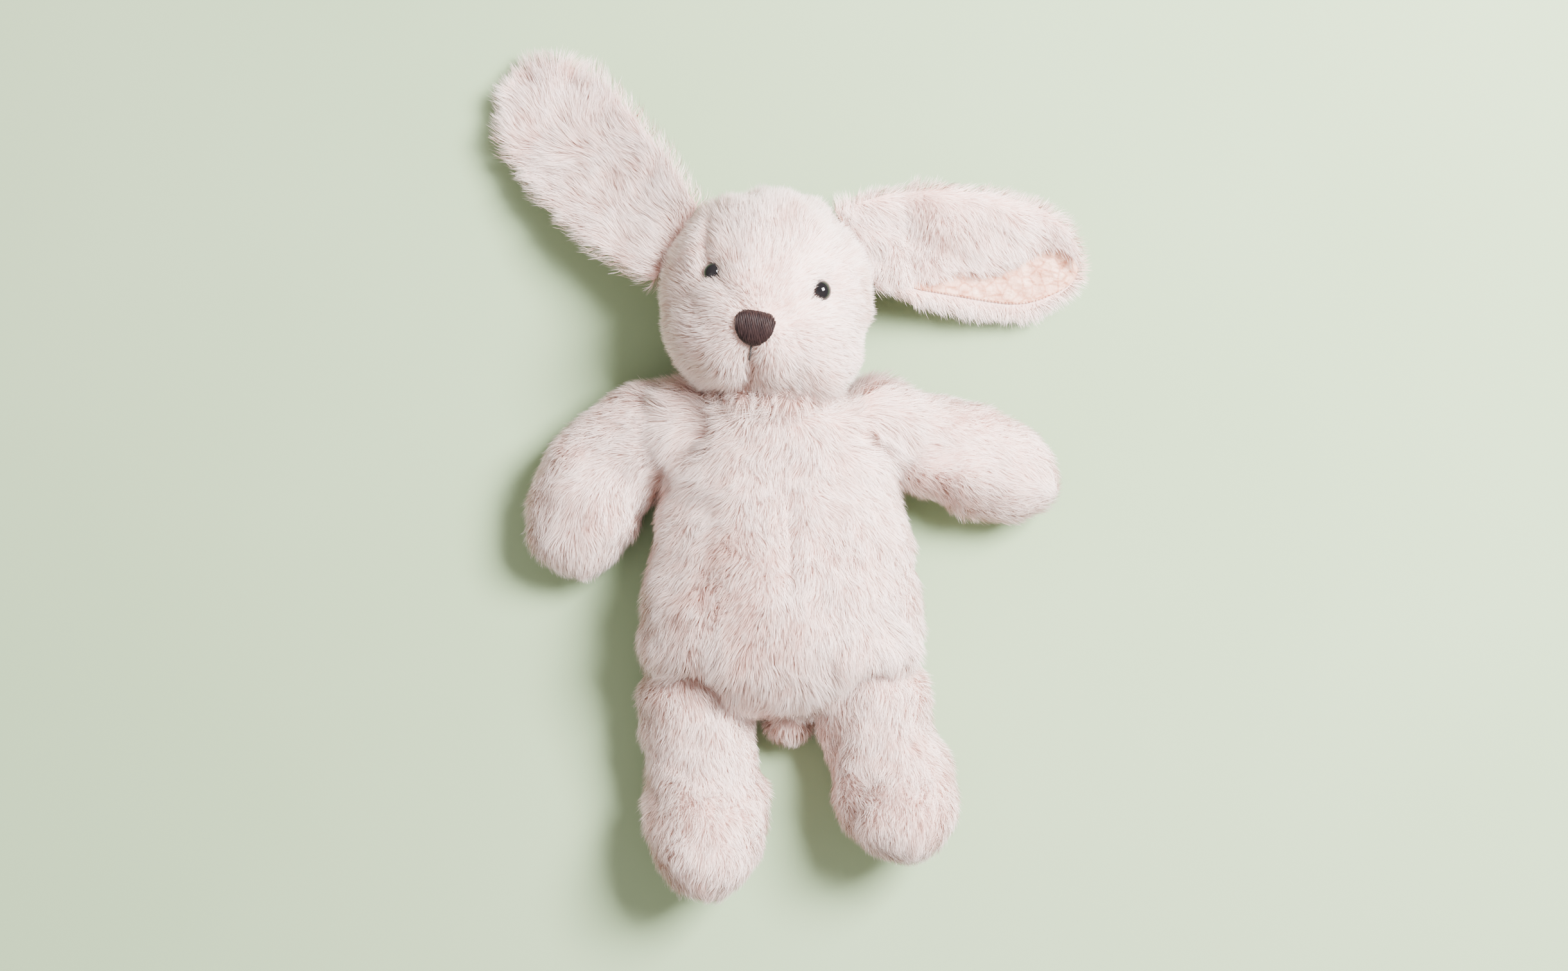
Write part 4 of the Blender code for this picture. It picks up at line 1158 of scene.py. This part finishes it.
def build_right_ear():
    """Its back, with the fur, faces up, and its lining lies below."""
    ear = Ear(RIGHT_EAR_BEARING, RIGHT_EAR_BENDS, RIGHT_EAR_WIDTH)
    _, _, angle, points = ear.shell(1.5 * MM, 4.6 * MM)
    points[..., 2] += 0.7 * MM * waves(points, 18 * MM, 71) * np.clip(np.sin(angle), 0, 1)
    skin = grid_object("ear_right_skin", capped(settle(points)), BACKING)
    build_lining("ear_right_satin", ear, 0.2 * MM, 1.3 * MM, "ear_right_lining", skin, up=-1.0)

    def keep(roots, out):
        return out[:, 2] > -0.5

    fields = {"keep": keep, **open_pile_shade_at(-66, 146, 16, 0.2)}
    grow_fur("ear_right_fur", skin, ear_comb(ear, 0.9), 340, length=1.25, lifts=EAR_LAY, **fields)
    finish_piece(skin, "ear_right", ["ear_right_back"])


def build_left_ear():
    """Its lining faces up, and its upper edge is folded over the lining as a furry flap."""
    ear = Ear(LEFT_EAR_BEARING, LEFT_EAR_BENDS, LEFT_EAR_WIDTH)
    back = grid_object("ear_left_skin", capped(settle(ear.shell(0.3 * MM, 3.0 * MM)[3])), BACKING)
    build_lining("ear_left_satin", ear, 2.6 * MM, 3.8 * MM, "ear_left_lining", back)
    seam_stitches("ear_left_stitches", ear, 3.4 * MM, LINING_MARGIN + 0.01, back)

    def rim(roots, out):
        """Where the back's fur shows: below, at the lower edge, and at both ends of the lining."""
        along, across, _ = ear.places(roots)
        half = smooth(ear.form.widths, along) / 2 * np.maximum(ear.form.rounding(along), 0.05)
        lower_edge = across / half < -LINING_MARGIN - 0.02
        return lower_edge | (along > 0.97) | (along < 0.13) | (out[:, 2] < 0.2)

    grow_fur("ear_left_fur", back, ear_comb(ear, 2.0), 360, keep=rim, lifts=(42, 14), length=1.1)
    build_flap(ear, back)
    finish_piece(back, "ear_left", ["ear_left_back"])


def build_flap(ear, back):
    """The upper edge of the ear, folded over its front and sewn down at its root."""

    def comb(roots, out):
        """Down over the lining, and at the fold back over its upper edge."""
        across = ear.places(roots)[1] / (EAR_WIDTH / 2)
        way = np.tile([0.5, -1.0, 0.0], (len(roots), 1))
        way[:, 1] += 1.5 * step(across, 0.5, 0.95)
        return way

    def shorten(roots):
        along, across, _ = ear.places(roots)
        across = across / (EAR_WIDTH / 2)
        return 0.4 * bump(across - flap_edge(along), 0.3) + 0.25 * step(across, 0.6, 1.0)

    def keep(roots, out):
        return out[:, 2] > -0.35

    def layer(name, seed, start, end):
        shape = {"start": start, "end": end, "edge": flap_edge}
        along, across, angle, points = ear.shell(FLAP_LOW, FLAP_HIGH, **shape)
        points[..., 2] += 1.2 * MM * waves(points, 20 * MM, 81) * np.clip(np.sin(angle), 0, 1)
        points[..., 2] -= 1.2 * MM * bump(across - flap_edge(along), 0.3)
        fields = {"shorten": shorten, "keep": keep, **open_pile_shade_at(72, 122, 13, 0.22)}
        return furry(name, capped(points), comb, seed, length=1.15, lifts=EAR_LAY, **fields), shape

    root = layer("ear_flap_root", 380, FLAP_START, FLAP_SPLIT)[0]
    attach(root, back)
    flap, shape = layer("ear_flap", 390, FLAP_SPLIT - 0.03, FLAP_END)
    shape["edge"] = lambda along: flap_edge(along) + 0.1
    low, high = FLAP_LOW - 1.0 * MM, FLAP_LOW + 0.1 * MM
    build_lining("ear_flap_satin", ear, low, high, "ear_left_fold_lining", flap, 0.9, -1.0, **shape)
    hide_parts("ear_left_fold_fur")
    down = -ear.side(np.array(0.5))
    for piece in (flap, *flap.children):
        piece.parent = None
        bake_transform(piece)


# ---- camera, light and floor


CAMERA_PLACE = (0, 24.7 * MM, 1.1)
CAMERA_LENS = 62.5  # mm, on a sensor 36 mm wide
LIT_PLACE = (0, 0.03, 0.03)
FLOOR_REACH = 3.0


def add_light(name, place, size, power, colour):
    data = bpy.data.lights.new(name, "AREA")
    data.size = size
    data.energy = power
    data.color = colour
    light = new_object(name, data)
    light.location = place
    light.rotation_euler = (Vector(LIT_PLACE) - Vector(place)).to_track_quat("-Z", "Y").to_euler()


def build_stage():
    """A pale floor, a camera straight above, and soft light from beyond the toy's left ear."""
    camera = new_object("camera", bpy.data.cameras.new("camera"))
    camera.location = CAMERA_PLACE
    camera.data.sensor_width = 36
    camera.data.lens = CAMERA_LENS
    bpy.context.scene.camera = camera
    corners = [(x * FLOOR_REACH, y * FLOOR_REACH, 0) for x, y in ((-1, -1), (1, -1), (1, 1), (-1, 1))]
    mesh = bpy.data.meshes.new("floor")
    mesh.from_pydata(corners, [], [(0, 1, 2, 3)])
    mesh.materials.append(FLOOR)
    new_object("floor", mesh)
    world = bpy.data.worlds.new("studio")
    world.use_nodes = True
    set_values(world.node_tree.nodes["Background"], Color=(1.0, 0.9, 0.86, 1), Strength=0.74)
    bpy.context.scene.world = world
    add_light("key", (0.66, 0.4, 0.95), 0.5, 98.0, (1.0, 0.985, 0.975))
    add_light("fill", (-0.7, -0.5, 1.1), 1.2, 4.0, (1.0, 0.93, 0.9))


def finish_cad_nodes():
    """The washers keep their CAD shape, in moulded plastic."""
    for side in ("left", "right"):
        for slot in frame["nodes"]["eye_washer_" + side].material_slots:
            slot.material = WASHER


build_stage()
build_torso()
build_pellet_bag()
build_limbs()
build_tail()
build_neck()
build_head()
build_eyes()
build_nose()
build_mouth()
build_right_ear()
build_left_ear()
finish_cad_nodes()
